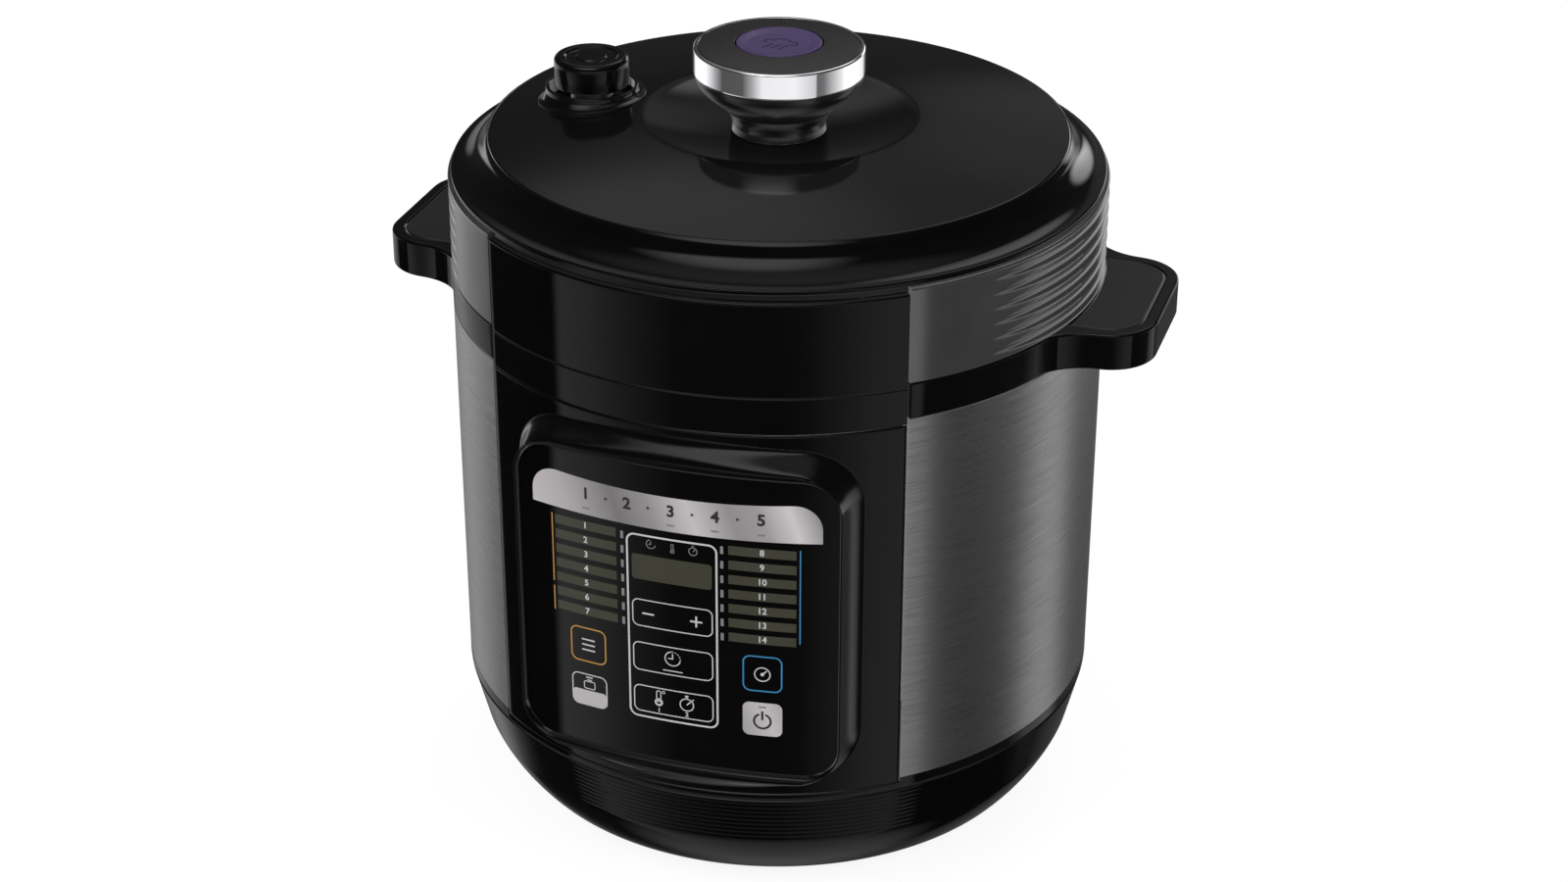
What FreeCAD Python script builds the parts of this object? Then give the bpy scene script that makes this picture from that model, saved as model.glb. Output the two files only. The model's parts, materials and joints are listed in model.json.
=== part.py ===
import FreeCAD
import Part
import Sketcher
import math
import os
from types import SimpleNamespace

# Electric pressure cooker: round housing with a flat-faced control panel, lift-off lid with a
# bayonet lock turned by the top knob, and a steam release button in the middle of the knob.
# Millimetres, +Z up, front towards -Y, origin on the table under the middle of the housing.

sizes = {
    # housing
    "body_radius": 147.5,
    "skin": 3.0,
    "fit_gap": 0.3,
    "front_half_angle": 39.1,
    "seam_angle": 0.12,
    "front_drop": 2.3,
    "foot_height": 6.0,
    "foot_radius": 9.0,
    "foot_inset": 26.0,
    "foot_count": 4,
    "base_inset": 21.5,
    "base_floor": 3.0,
    "base_lip_width": 10.0,
    "taper_height": 24.0,
    "taper_bulge": 80.0,
    "rib_inset": 6.5,
    "rib_band_height": 25.8,
    "rib_depth": 0.9,
    "base_groove": 1.2,
    "base_groove_depth": 1.6,
    "base_lip_height": 3.8,
    "steel_wall": 1.0,
    "steel_height": 177.2,
    "band_height": 17.0,
    "band_depth": 9.5,
    "collar_height": 42.9,
    "collar_wall": 3.7,
    "collar_rounding": 1.0,
    "scallop_depth": 1.3,
    "scallop_land": 0.25,
    "scallop_reach": 7.2,
    "scallop_margin": 1.0,
    # bottom cover
    "cover_flange": 2.0,
    "cover_overlap": 4.0,
    "vent_length": 26.0,
    "vent_width": 4.0,
    "vent_circle": 48.0,
    "cover_screw_radius": 1.6,
    "cover_screw_head": 3.2,
    "cover_screw_head_height": 1.6,
    # handles
    "handle_out": 31.5,
    "handle_half_width": 43.4,
    "handle_root_half": 60.0,
    "handle_root_radius": 28.0,
    "handle_bite": 1.0,
    "handle_corner": 22.0,
    "handle_cap_margin": 6.0,
    "handle_cap_depth": 4.0,
    # control panel
    "panel_radius": 300.0,
    "panel_proud": 2.5,
    "panel_wall": 2.5,
    "bezel_proud": 2.5,
    "bezel_half_width": 77.5,
    "bezel_low": 5.4,
    "bezel_high": 10.1,
    "bezel_corner": 20.0,
    "bezel_round": 4.0,
    "window_half_width": 72.3,
    "window_low": 9.0,
    "window_high": 10.0,
    "window_corner": 15.0,
    "board_back": 22.0,
    "board_half_width": 54.0,
    "board_low": 10.0,
    "board_high": 15.0,
    "board_wall": 1.6,
    "display_half_width": 20.0,
    "display_height": 17.0,
    "display_drop": 42.0,
    "touch_radius": 4.0,
    "key_drop": 15.0,
    "key_pitch": 21.5,
    # heating and pots
    "deck_wall": 3.0,
    "deck_gap": 0.3,
    "gutter_width": 16.5,
    "pot_space": 28.5,
    "outer_pot_wall": 2.0,
    "outer_pot_bottom": 82.0,
    "outer_pot_hole": 30.0,
    "flange_width": 6.0,
    "flange_height": 3.5,
    "flange_lift": 19.9,
    "pot_play": 8.0,
    "pot_wall": 1.6,
    "pot_bottom": 100.0,
    "pot_corner": 12.0,
    "pot_rim_width": 9.4,
    "plate_inset": 23.0,
    "plate_wall": 9.0,
    "plate_hole": 15.0,
    "element_circle": 64.0,
    "element_width": 10.0,
    "element_drop": 5.0,
    "post_circle": 80.0,
    "sensor_radius": 14.5,
    "sensor_cap_height": 5.7,
    "sensor_stem": 4.0,
    "sensor_stem_length": 24.0,
    "bracket_radius": 40.0,
    "bracket_wall": 2.5,
    # electronics in the base
    "board_stand": 25.0,
    "power_board_width": 110.0,
    "power_board_depth": 76.0,
    "power_board_shift": 24.0,
    "part_margin": 9.0,
    "transformer_width": 30.0,
    "transformer_depth": 26.0,
    "transformer_height": 24.0,
    "relay_width": 20.0,
    "relay_depth": 16.0,
    "terminal_depth": 10.0,
    "terminal_height": 12.0,
    "capacitor_radius": 8.0,
    "capacitor_height": 22.0,
    "inlet_width": 28.0,
    "inlet_height": 21.0,
    "inlet_inset": 10.5,
    "inlet_depth": 25.0,
    "inlet_bottom": 22.5,
    "inlet_wall": 2.0,
    "inlet_socket_depth": 17.0,
    "pin_pitch": 7.0,
    "pin_length": 13.0,
    # condensation cup
    "cup_half_width": 28.5,
    "cup_drop": 47.0,
    "cup_height": 40.9,
    "cup_sink": 23.0,
    "cup_wall": 1.8,
    "holder_wall": 1.5,
    "holder_gap": 0.3,
    "drain_inset": 15.5,
    "drain_radius": 3.0,
    "drain_wall": 1.6,
    "drain_length": 20.0,
    # lid
    "lid_gap": 0.6,
    "rim_inset": 1.5,
    "rim_height": 2.4,
    "rim_round": 0.8,
    "cove_radius": 15.5,
    "lid_wall": 2.5,
    "cove_span": 16.7,
    "lid_height": 16.4,
    "dome_radius": 1000.0,
    "dish_rim_radius": 61.0,
    "dish_rim_width": 3.5,
    "dish_rim_round": 6.0,
    "dish_radius": 215.0,
    "seat_width": 4.6,
    "inner_lid_wall": 2.5,
    "inner_lid_step": 6.0,
    "core_play": 3.0,
    "seal_inset": 1.5,
    "seal_edge": 4.0,
    "seal_clearance": 0.4,
    "seal_height": 2.5,
    "lid_post_circle": 75.0,
    "lid_post_radius": 6.0,
    "lid_screw_radius": 1.8,
    "lid_screw_head": 3.6,
    "lid_screw_length": 14.0,
    # bayonet lock
    "lug_count": 6,
    "lug_angle": 26.0,
    "lug_reach": 8.0,
    "lug_gap": 1.0,
    "lug_wall": 4.0,
    "lock_ring_wall": 4.5,
    "spider_wall": 3.0,
    "spider_hub": 16.0,
    "spider_arm_width": 10.0,
    "spider_lift": 13.5,
    # knob and release button
    "knob_radius": 37.9,
    "knob_ring_wall": 2.0,
    "knob_ring_height": 11.6,
    "knob_ring_round": 0.9,
    "knob_height": 27.1,
    "knob_neck": 20.8,
    "knob_waist": 24.6,
    "knob_shoulder": 33.0,
    "knob_foot_gap": 0.4,
    "knob_edge": 0.5,
    "knob_dome": 260.0,
    "shaft_radius": 10.0,
    "shaft_flange": 14.0,
    "shaft_bore": 3.4,
    "socket_depth": 8.8,
    "button_radius": 19.0,
    "button_proud": 0.15,
    "button_round": 0.8,
    "button_dish": 155.0,
    "button_wall": 3.0,
    "button_skirt": 15.0,
    "well_depth": 11.8,
    "rod_radius": 3.0,
    # steam valve, lever and float
    "valve_inset": 40.8,
    "valve_cap_radius": 16.8,
    "valve_cap_height": 13.5,
    "valve_cap_round": 2.0,
    "valve_stem_radius": 9.5,
    "valve_stem_bore": 6.5,
    "valve_stem_length": 26.0,
    "valve_hole": 12.0,
    "valve_lift_off": 5.6,
    "collar_bore": 19.3,
    "collar_lip": 1.4,
    "collar_rise": 5.4,
    "collar_skirt": 24.5,
    "vent_pipe_radius": 6.0,
    "vent_pipe_bore": 2.5,
    "vent_pipe_top": 0.3,
    "filter_radius": 13.0,
    "filter_height": 10.0,
    "filter_wall": 1.2,
    "filter_slots": 8,
    "lever_pivot": 44.0,
    "lever_half_width": 4.0,
    "lever_wall": 3.0,
    "lever_play": 0.5,
    "lever_pin_radius": 2.0,
    "lever_pin_play": 0.1,
    "ear_wall": 2.5,
    "fork_gap": 7.0,
    "fork_wall": 3.0,
    "float_circle": 60.0,
    "float_angle": 105.0,
    "float_radius": 3.0,
    "float_play": 0.4,
    "float_head": 6.0,
    "float_head_height": 2.0,
    "float_travel": 4.0,
    "float_length": 18.5,
}
rib_count = 10
scallop_count = 6
vent_count = 16
stand_share = 0.41
scallop_sweep = 140.0
panel_sweep = 60.0

doc = FreeCAD.newDocument("pressure_cooker")
sheet = doc.addObject("Spreadsheet::Sheet", "dims")
for row, (alias, number) in enumerate(sizes.items(), start=1):
    sheet.set("A%d" % row, alias)
    sheet.set("B%d" % row, str(number))
    sheet.setAlias("B%d" % row, alias)
doc.recompute()


def words(number):
    """The expression text of a size or of a plain number."""
    return number.text if isinstance(number, Size) else repr(float(number))


class Size(float):
    """A number that remembers the spreadsheet expression it comes from."""

    def __new__(cls, number, text):
        size = super().__new__(cls, number)
        size.text = text
        return size

    def __add__(self, other):
        return Size(float(self) + float(other), "(%s + %s)" % (self.text, words(other)))

    def __radd__(self, other):
        return Size(float(other) + float(self), "(%s + %s)" % (words(other), self.text))

    def __sub__(self, other):
        return Size(float(self) - float(other), "(%s - %s)" % (self.text, words(other)))

    def __rsub__(self, other):
        return Size(float(other) - float(self), "(%s - %s)" % (words(other), self.text))

    def __mul__(self, other):
        return Size(float(self) * float(other), "(%s * %s)" % (self.text, words(other)))

    __rmul__ = __mul__

    def __truediv__(self, other):
        return Size(float(self) / float(other), "(%s / %s)" % (self.text, words(other)))

    def __neg__(self):
        return Size(-float(self), "(0 - %s)" % self.text)


def leg(radius, other):
    """The other leg of a right triangle with this hypotenuse."""
    number = math.sqrt(float(radius) ** 2 - float(other) ** 2)
    return Size(number, "sqrt(%s ^ 2 - %s ^ 2)" % (words(radius), words(other)))


def sine(angle):
    return Size(math.sin(math.radians(angle)), "sin(%s * 1 deg)" % words(angle))


def cosine(angle):
    return Size(math.cos(math.radians(angle)), "cos(%s * 1 deg)" % words(angle))


d = SimpleNamespace(**{alias: Size(number, "dims." + alias) for alias, number in sizes.items()})
nodes = []

# Radii and reaches that follow the housing's radius
d.base_radius = d.body_radius - d.base_inset
d.rib_radius = d.body_radius - d.rib_inset
d.foot_circle = d.base_radius - d.foot_inset
d.handle_reach = d.body_radius + d.handle_out
d.panel_reach = d.body_radius + d.panel_proud
d.board_plane = d.panel_reach - d.board_back
d.outer_pot_radius = d.body_radius - d.pot_space
d.pot_radius = d.outer_pot_radius - d.pot_play
d.plate_radius = d.pot_radius - d.plate_inset
d.inlet_face = d.body_radius - d.inlet_inset
d.cup_back = d.body_radius - d.cup_sink
d.drain_place = d.body_radius - d.drain_inset
d.rim_radius = d.body_radius - d.rim_inset
d.plate_edge_radius = d.rim_radius - d.cove_span
d.valve_offset = d.plate_edge_radius - d.valve_inset
d.inner_lid_radius = d.outer_pot_radius + d.flange_width
d.inner_lid_core = d.pot_radius - d.core_play
d.seal_inner = d.pot_radius + d.seal_inset
d.seal_outer = d.inner_lid_radius - d.seal_edge


def bind(thing, path, size):
    """Sets a property and, where the number comes from the sheet, the expression that drives it."""
    if isinstance(size, Size):
        thing.setExpression(path, size.text)


def new_body(label, x=0.0, y=0.0, turn=0.0):
    """A sub-part; x, y and turn place it in the cooker."""
    body = doc.addObject("PartDesign::Body", label)
    body.Label = label
    body.AllowCompound = True
    spin = FreeCAD.Rotation(FreeCAD.Vector(0, 0, 1), float(turn))
    body.Placement = FreeCAD.Placement(FreeCAD.Vector(float(x), float(y), 0), spin)
    bind(body, "Placement.Base.x", x)
    bind(body, "Placement.Base.y", y)
    nodes.append(body)
    return body


def new_sketch(body, role, offset=0.0):
    """A sketch on one of the body's own planes, moved along its normal by offset."""
    sketch = body.newObject("Sketcher::SketchObject", body.Label + "_sketch")
    for feature in body.Origin.OriginFeatures:
        if feature.Role == role:
            sketch.AttachmentSupport = [(feature, "")]
    sketch.MapMode = "FlatFace"
    sketch.AttachmentOffset = FreeCAD.Placement(FreeCAD.Vector(0, 0, float(offset)), FreeCAD.Rotation())
    bind(sketch, "AttachmentOffset.Base.z", offset)
    return sketch


def constrain(sketch, kind, *values):
    """Adds a constraint and drives its number from the sheet."""
    plain = [float(v) if isinstance(v, Size) else v for v in values]
    index = sketch.addConstraint(Sketcher.Constraint(kind, *plain))
    bind(sketch, "Constraints[%d]" % index, values[-1])


def arc_between(start, end, radius):
    """The short arc from start to end: its centre lies left of the way for a positive radius."""
    way = end - start
    middle = (start + end) * 0.5
    rise = math.sqrt(max(radius * radius - way.Length ** 2 / 4, 0))
    side = FreeCAD.Vector(-way.y, way.x, 0).normalize()
    centre = middle + side * (rise if radius > 0 else -rise)
    first, last = (start, end) if radius > 0 else (end, start)
    turns = [math.atan2(p.y - centre.y, p.x - centre.x) for p in (first, last)]
    return Part.ArcOfCircle(Part.Circle(centre, FreeCAD.Vector(0, 0, 1), abs(radius)), turns[0], turns[1])


def draw(sketch, corners):
    """A closed outline. A third number on a corner makes the edge to the next corner an arc."""
    points = [FreeCAD.Vector(float(c[0]), float(c[1]), 0) for c in corners]
    first = sketch.GeometryCount
    ends = []
    for i, corner in enumerate(corners):
        start = points[i]
        end = points[(i + 1) % len(points)]
        if len(corner) == 3:
            edge = sketch.addGeometry(arc_between(start, end, float(corner[2])), False)
            ends.append((1, 2) if corner[2] > 0 else (2, 1))
        else:
            edge = sketch.addGeometry(Part.LineSegment(start, end), False)
            ends.append((1, 2))
    for i, corner in enumerate(corners):
        edge = first + i
        following = first + (i + 1) % len(corners)
        meets = ends[following - first][0]
        sketch.addConstraint(Sketcher.Constraint("Coincident", edge, ends[i][1], following, meets))
    for i, corner in enumerate(corners):
        edge = first + i
        place(sketch, edge, ends[i][0], corner)
        if len(corner) == 3:
            constrain(sketch, "Radius", edge, corner[2] if corner[2] > 0 else -corner[2])
    return first


def place(sketch, edge, end, corner):
    """Pins an end of an edge to its place, on the axis itself where a coordinate is nought."""
    if corner[0] == 0:
        sketch.addConstraint(Sketcher.Constraint("PointOnObject", edge, end, -2))
    else:
        constrain(sketch, "DistanceX", -1, 1, edge, end, corner[0])
    if corner[1] == 0:
        sketch.addConstraint(Sketcher.Constraint("PointOnObject", edge, end, -1))
    else:
        constrain(sketch, "DistanceY", -1, 1, edge, end, corner[1])


def circle(sketch, x, y, radius):
    middle = FreeCAD.Vector(float(x), float(y), 0)
    edge = sketch.addGeometry(Part.Circle(middle, FreeCAD.Vector(0, 0, 1), float(radius)), False)
    place(sketch, edge, 3, (x, y))
    constrain(sketch, "Radius", edge, radius)


def axis_line(sketch, x, low, high):
    """An upright construction line to revolve about; returns its name in the sketch."""
    ends = [FreeCAD.Vector(float(x), end, 0) for end in (low, high)]
    edge = sketch.addGeometry(Part.LineSegment(*ends), True)
    sketch.addConstraint(Sketcher.Constraint("Vertical", edge))
    place(sketch, edge, 1, (x, low))
    constrain(sketch, "DistanceY", -1, 1, edge, 2, high)
    return "Axis0"


def turned(body, corners, angle=360.0, role="XZ_Plane", cut=False, axis_at=None):
    """Revolves an outline about the body's Z axis, or about an upright line at axis_at."""
    sketch = new_sketch(body, role)
    draw(sketch, corners)
    axis = "V_Axis"
    if axis_at is not None:
        axis = axis_line(sketch, axis_at, 1.0, 2.0)
    feature = body.newObject("PartDesign::Groove" if cut else "PartDesign::Revolution", body.Label + "_turn")
    feature.Profile = sketch
    feature.ReferenceAxis = (sketch, [axis])
    feature.Midplane = float(angle) < 360
    feature.Angle = float(angle)
    bind(feature, "Angle", angle)
    sketch.Visibility = False
    return feature


def pushed(body, draw_on, length, role="XY_Plane", offset=0.0, cut=False, back=False):
    """Pads or pockets what draw_on draws in a new sketch."""
    sketch = new_sketch(body, role, offset)
    draw_on(sketch)
    feature = body.newObject("PartDesign::Pocket" if cut else "PartDesign::Pad", body.Label + "_push")
    feature.Profile = sketch
    feature.Length = float(length)
    bind(feature, "Length", length)
    feature.Reversed = back
    return feature


def round_pattern(body, feature, count, sweep=360.0):
    """Repeats a feature round the body's Z axis."""
    pattern = body.newObject("PartDesign::PolarPattern", body.Label + "_round")
    pattern.Originals = [feature]
    for part in body.Origin.OriginFeatures:
        if part.Role == "Z_Axis":
            pattern.Axis = (part, [""])
    pattern.Angle = sweep
    pattern.Occurrences = int(count)
    body.Tip = pattern
    return pattern


def box(label, x, y, z):
    """A block from low and high bounds on each axis."""
    block = doc.addObject("Part::Box", label)
    for path, (low, high) in zip(("Length", "Width", "Height"), (x, y, z)):
        setattr(block, path, float(high) - float(low))
        bind(block, path, Size(0.0, "(%s - %s)" % (words(high), words(low))))
    corner = [low for low, high in (x, y, z)]
    block.Placement.Base = FreeCAD.Vector(*[float(v) for v in corner])
    for axis, low in zip("xyz", corner):
        bind(block, "Placement.Base." + axis, low)
    return block


def rod(label, radius, length, centre, turn=FreeCAD.Rotation()):
    """A round bar standing on centre, upright unless turned."""
    bar = doc.addObject("Part::Cylinder", label)
    bar.Radius = float(radius)
    bar.Height = float(length)
    bind(bar, "Radius", radius)
    bind(bar, "Height", length)
    bar.Placement = FreeCAD.Placement(FreeCAD.Vector(*[float(v) for v in centre]), turn)
    for axis, low in zip("xyz", centre):
        bind(bar, "Placement.Base." + axis, low)
    return bar


def group(label, pieces):
    """Several separate solids in one node."""
    node = doc.addObject("Part::Compound", label)
    node.Label = label
    node.Links = pieces
    nodes.append(node)
    return node


def rectangle(x, y):
    """The corners of a rectangle from low and high bounds."""
    return [(x[0], y[0]), (x[1], y[0]), (x[1], y[1]), (x[0], y[1])]


def rounded(x, y, corner):
    """The corners of a rectangle with round corners, anticlockwise from the lower left."""
    return [
        (x[0] + corner, y[0]),
        (x[1] - corner, y[0], corner),
        (x[1], y[0] + corner),
        (x[1], y[1] - corner, corner),
        (x[1] - corner, y[1]),
        (x[0] + corner, y[1], corner),
        (x[0], y[1] - corner),
        (x[0], y[0] + corner, corner),
    ]


# Heights of the stack, from the table up
z_base = d.foot_height
z_rib = z_base + d.taper_height
z_lip = z_rib + d.rib_band_height
z_front = z_lip + d.base_lip_height
z_steel = z_front + d.front_drop
z_band = z_steel + d.steel_height
z_collar = z_band + d.band_height
z_rim = z_collar + d.collar_height
z_lid = z_rim + d.lid_gap
z_plate = z_lid + d.lid_height
z_flange = z_collar + d.flange_lift
z_flange_top = z_flange + d.flange_height
z_cover = z_base + d.base_floor
d.bezel_bottom = z_front + d.bezel_low
d.bezel_top = z_band - d.bezel_high
d.window_bottom = d.bezel_bottom + d.window_low
d.window_top = d.bezel_top - d.window_high
d.board_bottom = d.window_bottom + d.board_low
d.board_top = d.window_top - d.board_high
d.display_top = d.window_top - d.display_drop
d.display_bottom = d.display_top - d.display_height
d.cup_bottom = z_band - d.cup_drop

side_angle = 360.0 - 2 * (d.front_half_angle + d.seam_angle)
front_angle = 2 * (d.front_half_angle - d.seam_angle)
inside = d.body_radius - d.skin
base_opening = d.base_radius - d.base_lip_width
deck_outer = d.body_radius - d.collar_wall - d.fit_gap
deck_inner = d.outer_pot_radius + d.deck_gap
inlet_middle = d.inlet_bottom + d.inlet_height / 2


def screw_hole(sketch):
    """Draws the hole that a cover screw passes through."""
    circle(sketch, base_opening + d.cover_overlap / 2, 0, d.cover_screw_radius + d.fit_gap)


def base_shell():
    """The moulded base: smooth taper, ribbed band, shadow groove and lip."""
    body = new_body("base_shell")
    rib_rise = d.rib_band_height / rib_count
    rib_spread = (d.body_radius - d.rib_radius) / rib_count
    corners = [(d.base_radius, z_base, d.taper_bulge)]
    for i in range(rib_count):
        corners.append((d.rib_radius + rib_spread * i, z_rib + rib_rise * i))
        corners.append((d.rib_radius + rib_spread * (i + 0.5) - d.rib_depth, z_rib + rib_rise * (i + 0.75)))
    corners += [
        (d.body_radius - d.base_groove_depth / 2, z_lip),
        (d.body_radius - d.base_groove_depth, z_lip),
        (d.body_radius - d.base_groove_depth, z_lip + d.base_groove),
        (d.body_radius, z_lip + d.base_groove),
        (d.body_radius, z_steel),
        (inside, z_steel),
        (inside, z_lip),
        (d.rib_radius - d.skin, z_rib),
        (d.base_radius - d.skin, z_cover),
        (base_opening, z_cover),
        (base_opening, z_base),
    ]
    turned(body, corners)
    # the front stands lower than the sides
    front = rectangle((-d.body_radius - 1, -inside + 1), (z_front, z_steel + 1))
    turned(body, front, 2 * (d.front_half_angle + d.seam_angle), "YZ_Plane", cut=True)
    # opening for the mains inlet at the back
    half = d.inlet_width / 2 + d.fit_gap
    low = d.inlet_bottom - d.fit_gap
    high = d.inlet_bottom + d.inlet_height + d.fit_gap
    pushed(body, lambda s: draw(s, rectangle((-half, half), (low, high))), d.inlet_depth + d.skin,
           "XZ_Plane", -(d.body_radius + d.skin), cut=True, back=True)
    screw = pushed(body, screw_hole, d.base_floor, offset=z_base, cut=True, back=True)
    round_pattern(body, screw, d.foot_count)


def bottom_cover():
    """The screwed-on floor with its vents, board stands and inlet pedestal."""
    body = new_body("bottom_cover")
    edge = base_opening - d.fit_gap
    flange = base_opening + d.cover_overlap
    z_top = z_cover + d.cover_flange
    turned(body, [
        (0, z_base),
        (edge, z_base),
        (edge, z_cover),
        (flange, z_cover),
        (flange, z_top),
        (0, z_top),
    ])
    for across in (-1, 1):
        for along in (-1, 1):
            x = d.power_board_width * (stand_share * across)
            y = d.power_board_shift + d.power_board_depth * (stand_share * along)
            pushed(body, lambda s: circle(s, x, y, d.touch_radius), d.board_stand, offset=z_top)
    half = d.inlet_width / 2 - d.inlet_wall
    pedestal = rectangle((-half, half), (d.inlet_face - d.inlet_depth, flange - d.inlet_wall))
    pushed(body, lambda s: draw(s, pedestal), d.inlet_bottom - z_top, offset=z_top)
    span = (d.vent_circle, d.vent_circle + d.vent_length)
    vent = rounded(span, (-d.vent_width / 2, d.vent_width / 2), d.vent_width * 0.49)
    depth = d.base_floor + d.cover_flange
    slot = pushed(body, lambda s: draw(s, vent), depth, offset=z_base, cut=True, back=True)
    round_pattern(body, slot, vent_count)
    screw = pushed(body, screw_hole, d.cover_flange, offset=z_cover, cut=True, back=True)
    round_pattern(body, screw, d.foot_count)


def feet_and_screws():
    """Rubber feet under the cover and the screws that hold it."""
    feet = new_body("rubber_feet", turn=45.0)
    chamfer = d.foot_height / 4
    foot = turned(feet, [
        (d.foot_circle, 0),
        (d.foot_circle + d.foot_radius - chamfer, 0),
        (d.foot_circle + d.foot_radius, chamfer),
        (d.foot_circle + d.foot_radius, z_base),
        (d.foot_circle, z_base),
    ], axis_at=d.foot_circle)
    round_pattern(feet, foot, d.foot_count)
    screws = new_body("cover_screws")
    place_at = base_opening + d.cover_overlap / 2
    screw = turned(screws, [
        (place_at, z_base - d.cover_screw_head_height),
        (place_at + d.cover_screw_head, z_base - d.cover_screw_head_height),
        (place_at + d.cover_screw_head, z_base),
        (place_at + d.cover_screw_radius, z_base),
        (place_at + d.cover_screw_radius, z_cover + d.cover_flange),
        (place_at, z_cover + d.cover_flange),
    ], axis_at=place_at)
    round_pattern(screws, screw, d.foot_count)


def housing_skins():
    """The steel wrap, the ribbed collar and the three glossy front pieces."""
    steel = new_body("steel_wrap")
    sheet_in = d.body_radius - d.steel_wall
    turned(steel, rectangle((sheet_in, d.body_radius), (z_steel, z_band)), side_angle, "YZ_Plane")
    half = d.cup_half_width + d.holder_gap + d.holder_wall + d.fit_gap
    low = d.cup_bottom - d.holder_gap - d.holder_wall - d.fit_gap
    high = d.cup_bottom + d.cup_height + d.holder_gap + d.fit_gap
    pushed(steel, lambda s: draw(s, rectangle((-half, half), (low, high))), d.body_radius * 0.3,
           "XZ_Plane", -(d.body_radius + 1), cut=True, back=True)

    collar = new_body("collar_shell")
    inner = d.body_radius - d.collar_wall
    turned(collar, [
        (inner, z_collar),
        (d.body_radius, z_collar),
        (d.body_radius, z_rim - d.collar_rounding),
        (d.body_radius - d.collar_rounding, z_rim),
        (inner, z_rim),
    ], side_angle, "YZ_Plane")
    # scallops cut round an axis beyond the middle run out in points before the front panel
    pitch = (d.collar_height - 2 * d.scallop_margin) / scallop_count
    for side in (-1, 1):
        axis = d.scallop_reach * (-side)
        surface = d.body_radius + d.scallop_reach
        corners = []
        for i in range(scallop_count):
            foot = z_collar + d.scallop_margin + pitch * i
            corners.append((axis + (surface + d.scallop_land) * side, foot))
            corners.append((axis + (surface - d.scallop_depth) * side, foot + pitch / 2))
        top = z_collar + d.scallop_margin + pitch * scallop_count
        corners += [
            (axis + (surface + d.scallop_land) * side, top),
            (axis + (surface + d.skin) * side, top),
            (axis + (surface + d.skin) * side, z_collar + d.scallop_margin),
        ]
        turned(collar, corners, scallop_sweep, cut=True, axis_at=axis)

    band = new_body("front_band")
    low = z_band - d.front_drop + d.fit_gap / 2
    high = z_collar - d.front_drop - d.fit_gap / 2
    turned(band, rectangle((-d.body_radius, -inner), (low, high)), front_angle, "YZ_Plane")
    panel = new_body("collar_front_panel")
    low = z_collar - d.front_drop + d.fit_gap / 2
    high = z_rim - d.front_drop
    turned(panel, [
        (-inner, low),
        (-inner, high),
        (-d.body_radius + d.collar_rounding, high),
        (-d.body_radius, high - d.collar_rounding),
        (-d.body_radius, low),
    ], front_angle, "YZ_Plane")


def front_fascia():
    """The lower front with the raised bezel round the flat-faced control panel."""
    body = new_body("front_fascia")
    high = z_band - d.front_drop - d.fit_gap / 2
    turned(body, rectangle((-d.body_radius, -inside), (z_front, high)), front_angle, "YZ_Plane")
    start = leg(inside, d.bezel_half_width) - d.skin
    reach = d.panel_reach + d.bezel_proud
    wide = (-d.bezel_half_width, d.bezel_half_width)
    tall = (d.bezel_bottom - 1, d.bezel_top + 1)
    outline = rounded(wide, (d.bezel_bottom, d.bezel_top), d.bezel_corner)
    pushed(body, lambda s: draw(s, outline), reach - start + 1, "XZ_Plane", start)
    doc.recompute()
    axis = d.panel_radius - d.panel_reach
    outside = d.panel_radius + d.bezel_proud
    beyond = rectangle((axis - outside - d.bezel_corner, axis - outside), tall)
    turned(body, beyond, panel_sweep, "YZ_Plane", cut=True, axis_at=axis)
    turned(body, rectangle((-inside, 0), tall), 180.0, "YZ_Plane", cut=True)
    doc.recompute()
    crest = []
    for number, edge in enumerate(body.Shape.Edges, start=1):
        reaches = [math.hypot(v.X, v.Y - axis) for v in edge.Vertexes]
        if all(abs(r - outside) < 0.01 for r in reaches):
            crest.append("Edge%d" % number)
    sharp = body.Tip
    soft = body.newObject("PartDesign::Fillet", "front_fascia_soft")
    soft.Base = (sharp, crest)
    soft.Radius = float(d.bezel_round)
    bind(soft, "Radius", d.bezel_round)
    body.Tip = soft
    wide = (-d.window_half_width, d.window_half_width)
    window = rounded(wide, (d.window_bottom, d.window_top), d.window_corner)
    pushed(body, lambda s: draw(s, window), reach, "XZ_Plane", start - d.skin, cut=True, back=True)


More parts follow.
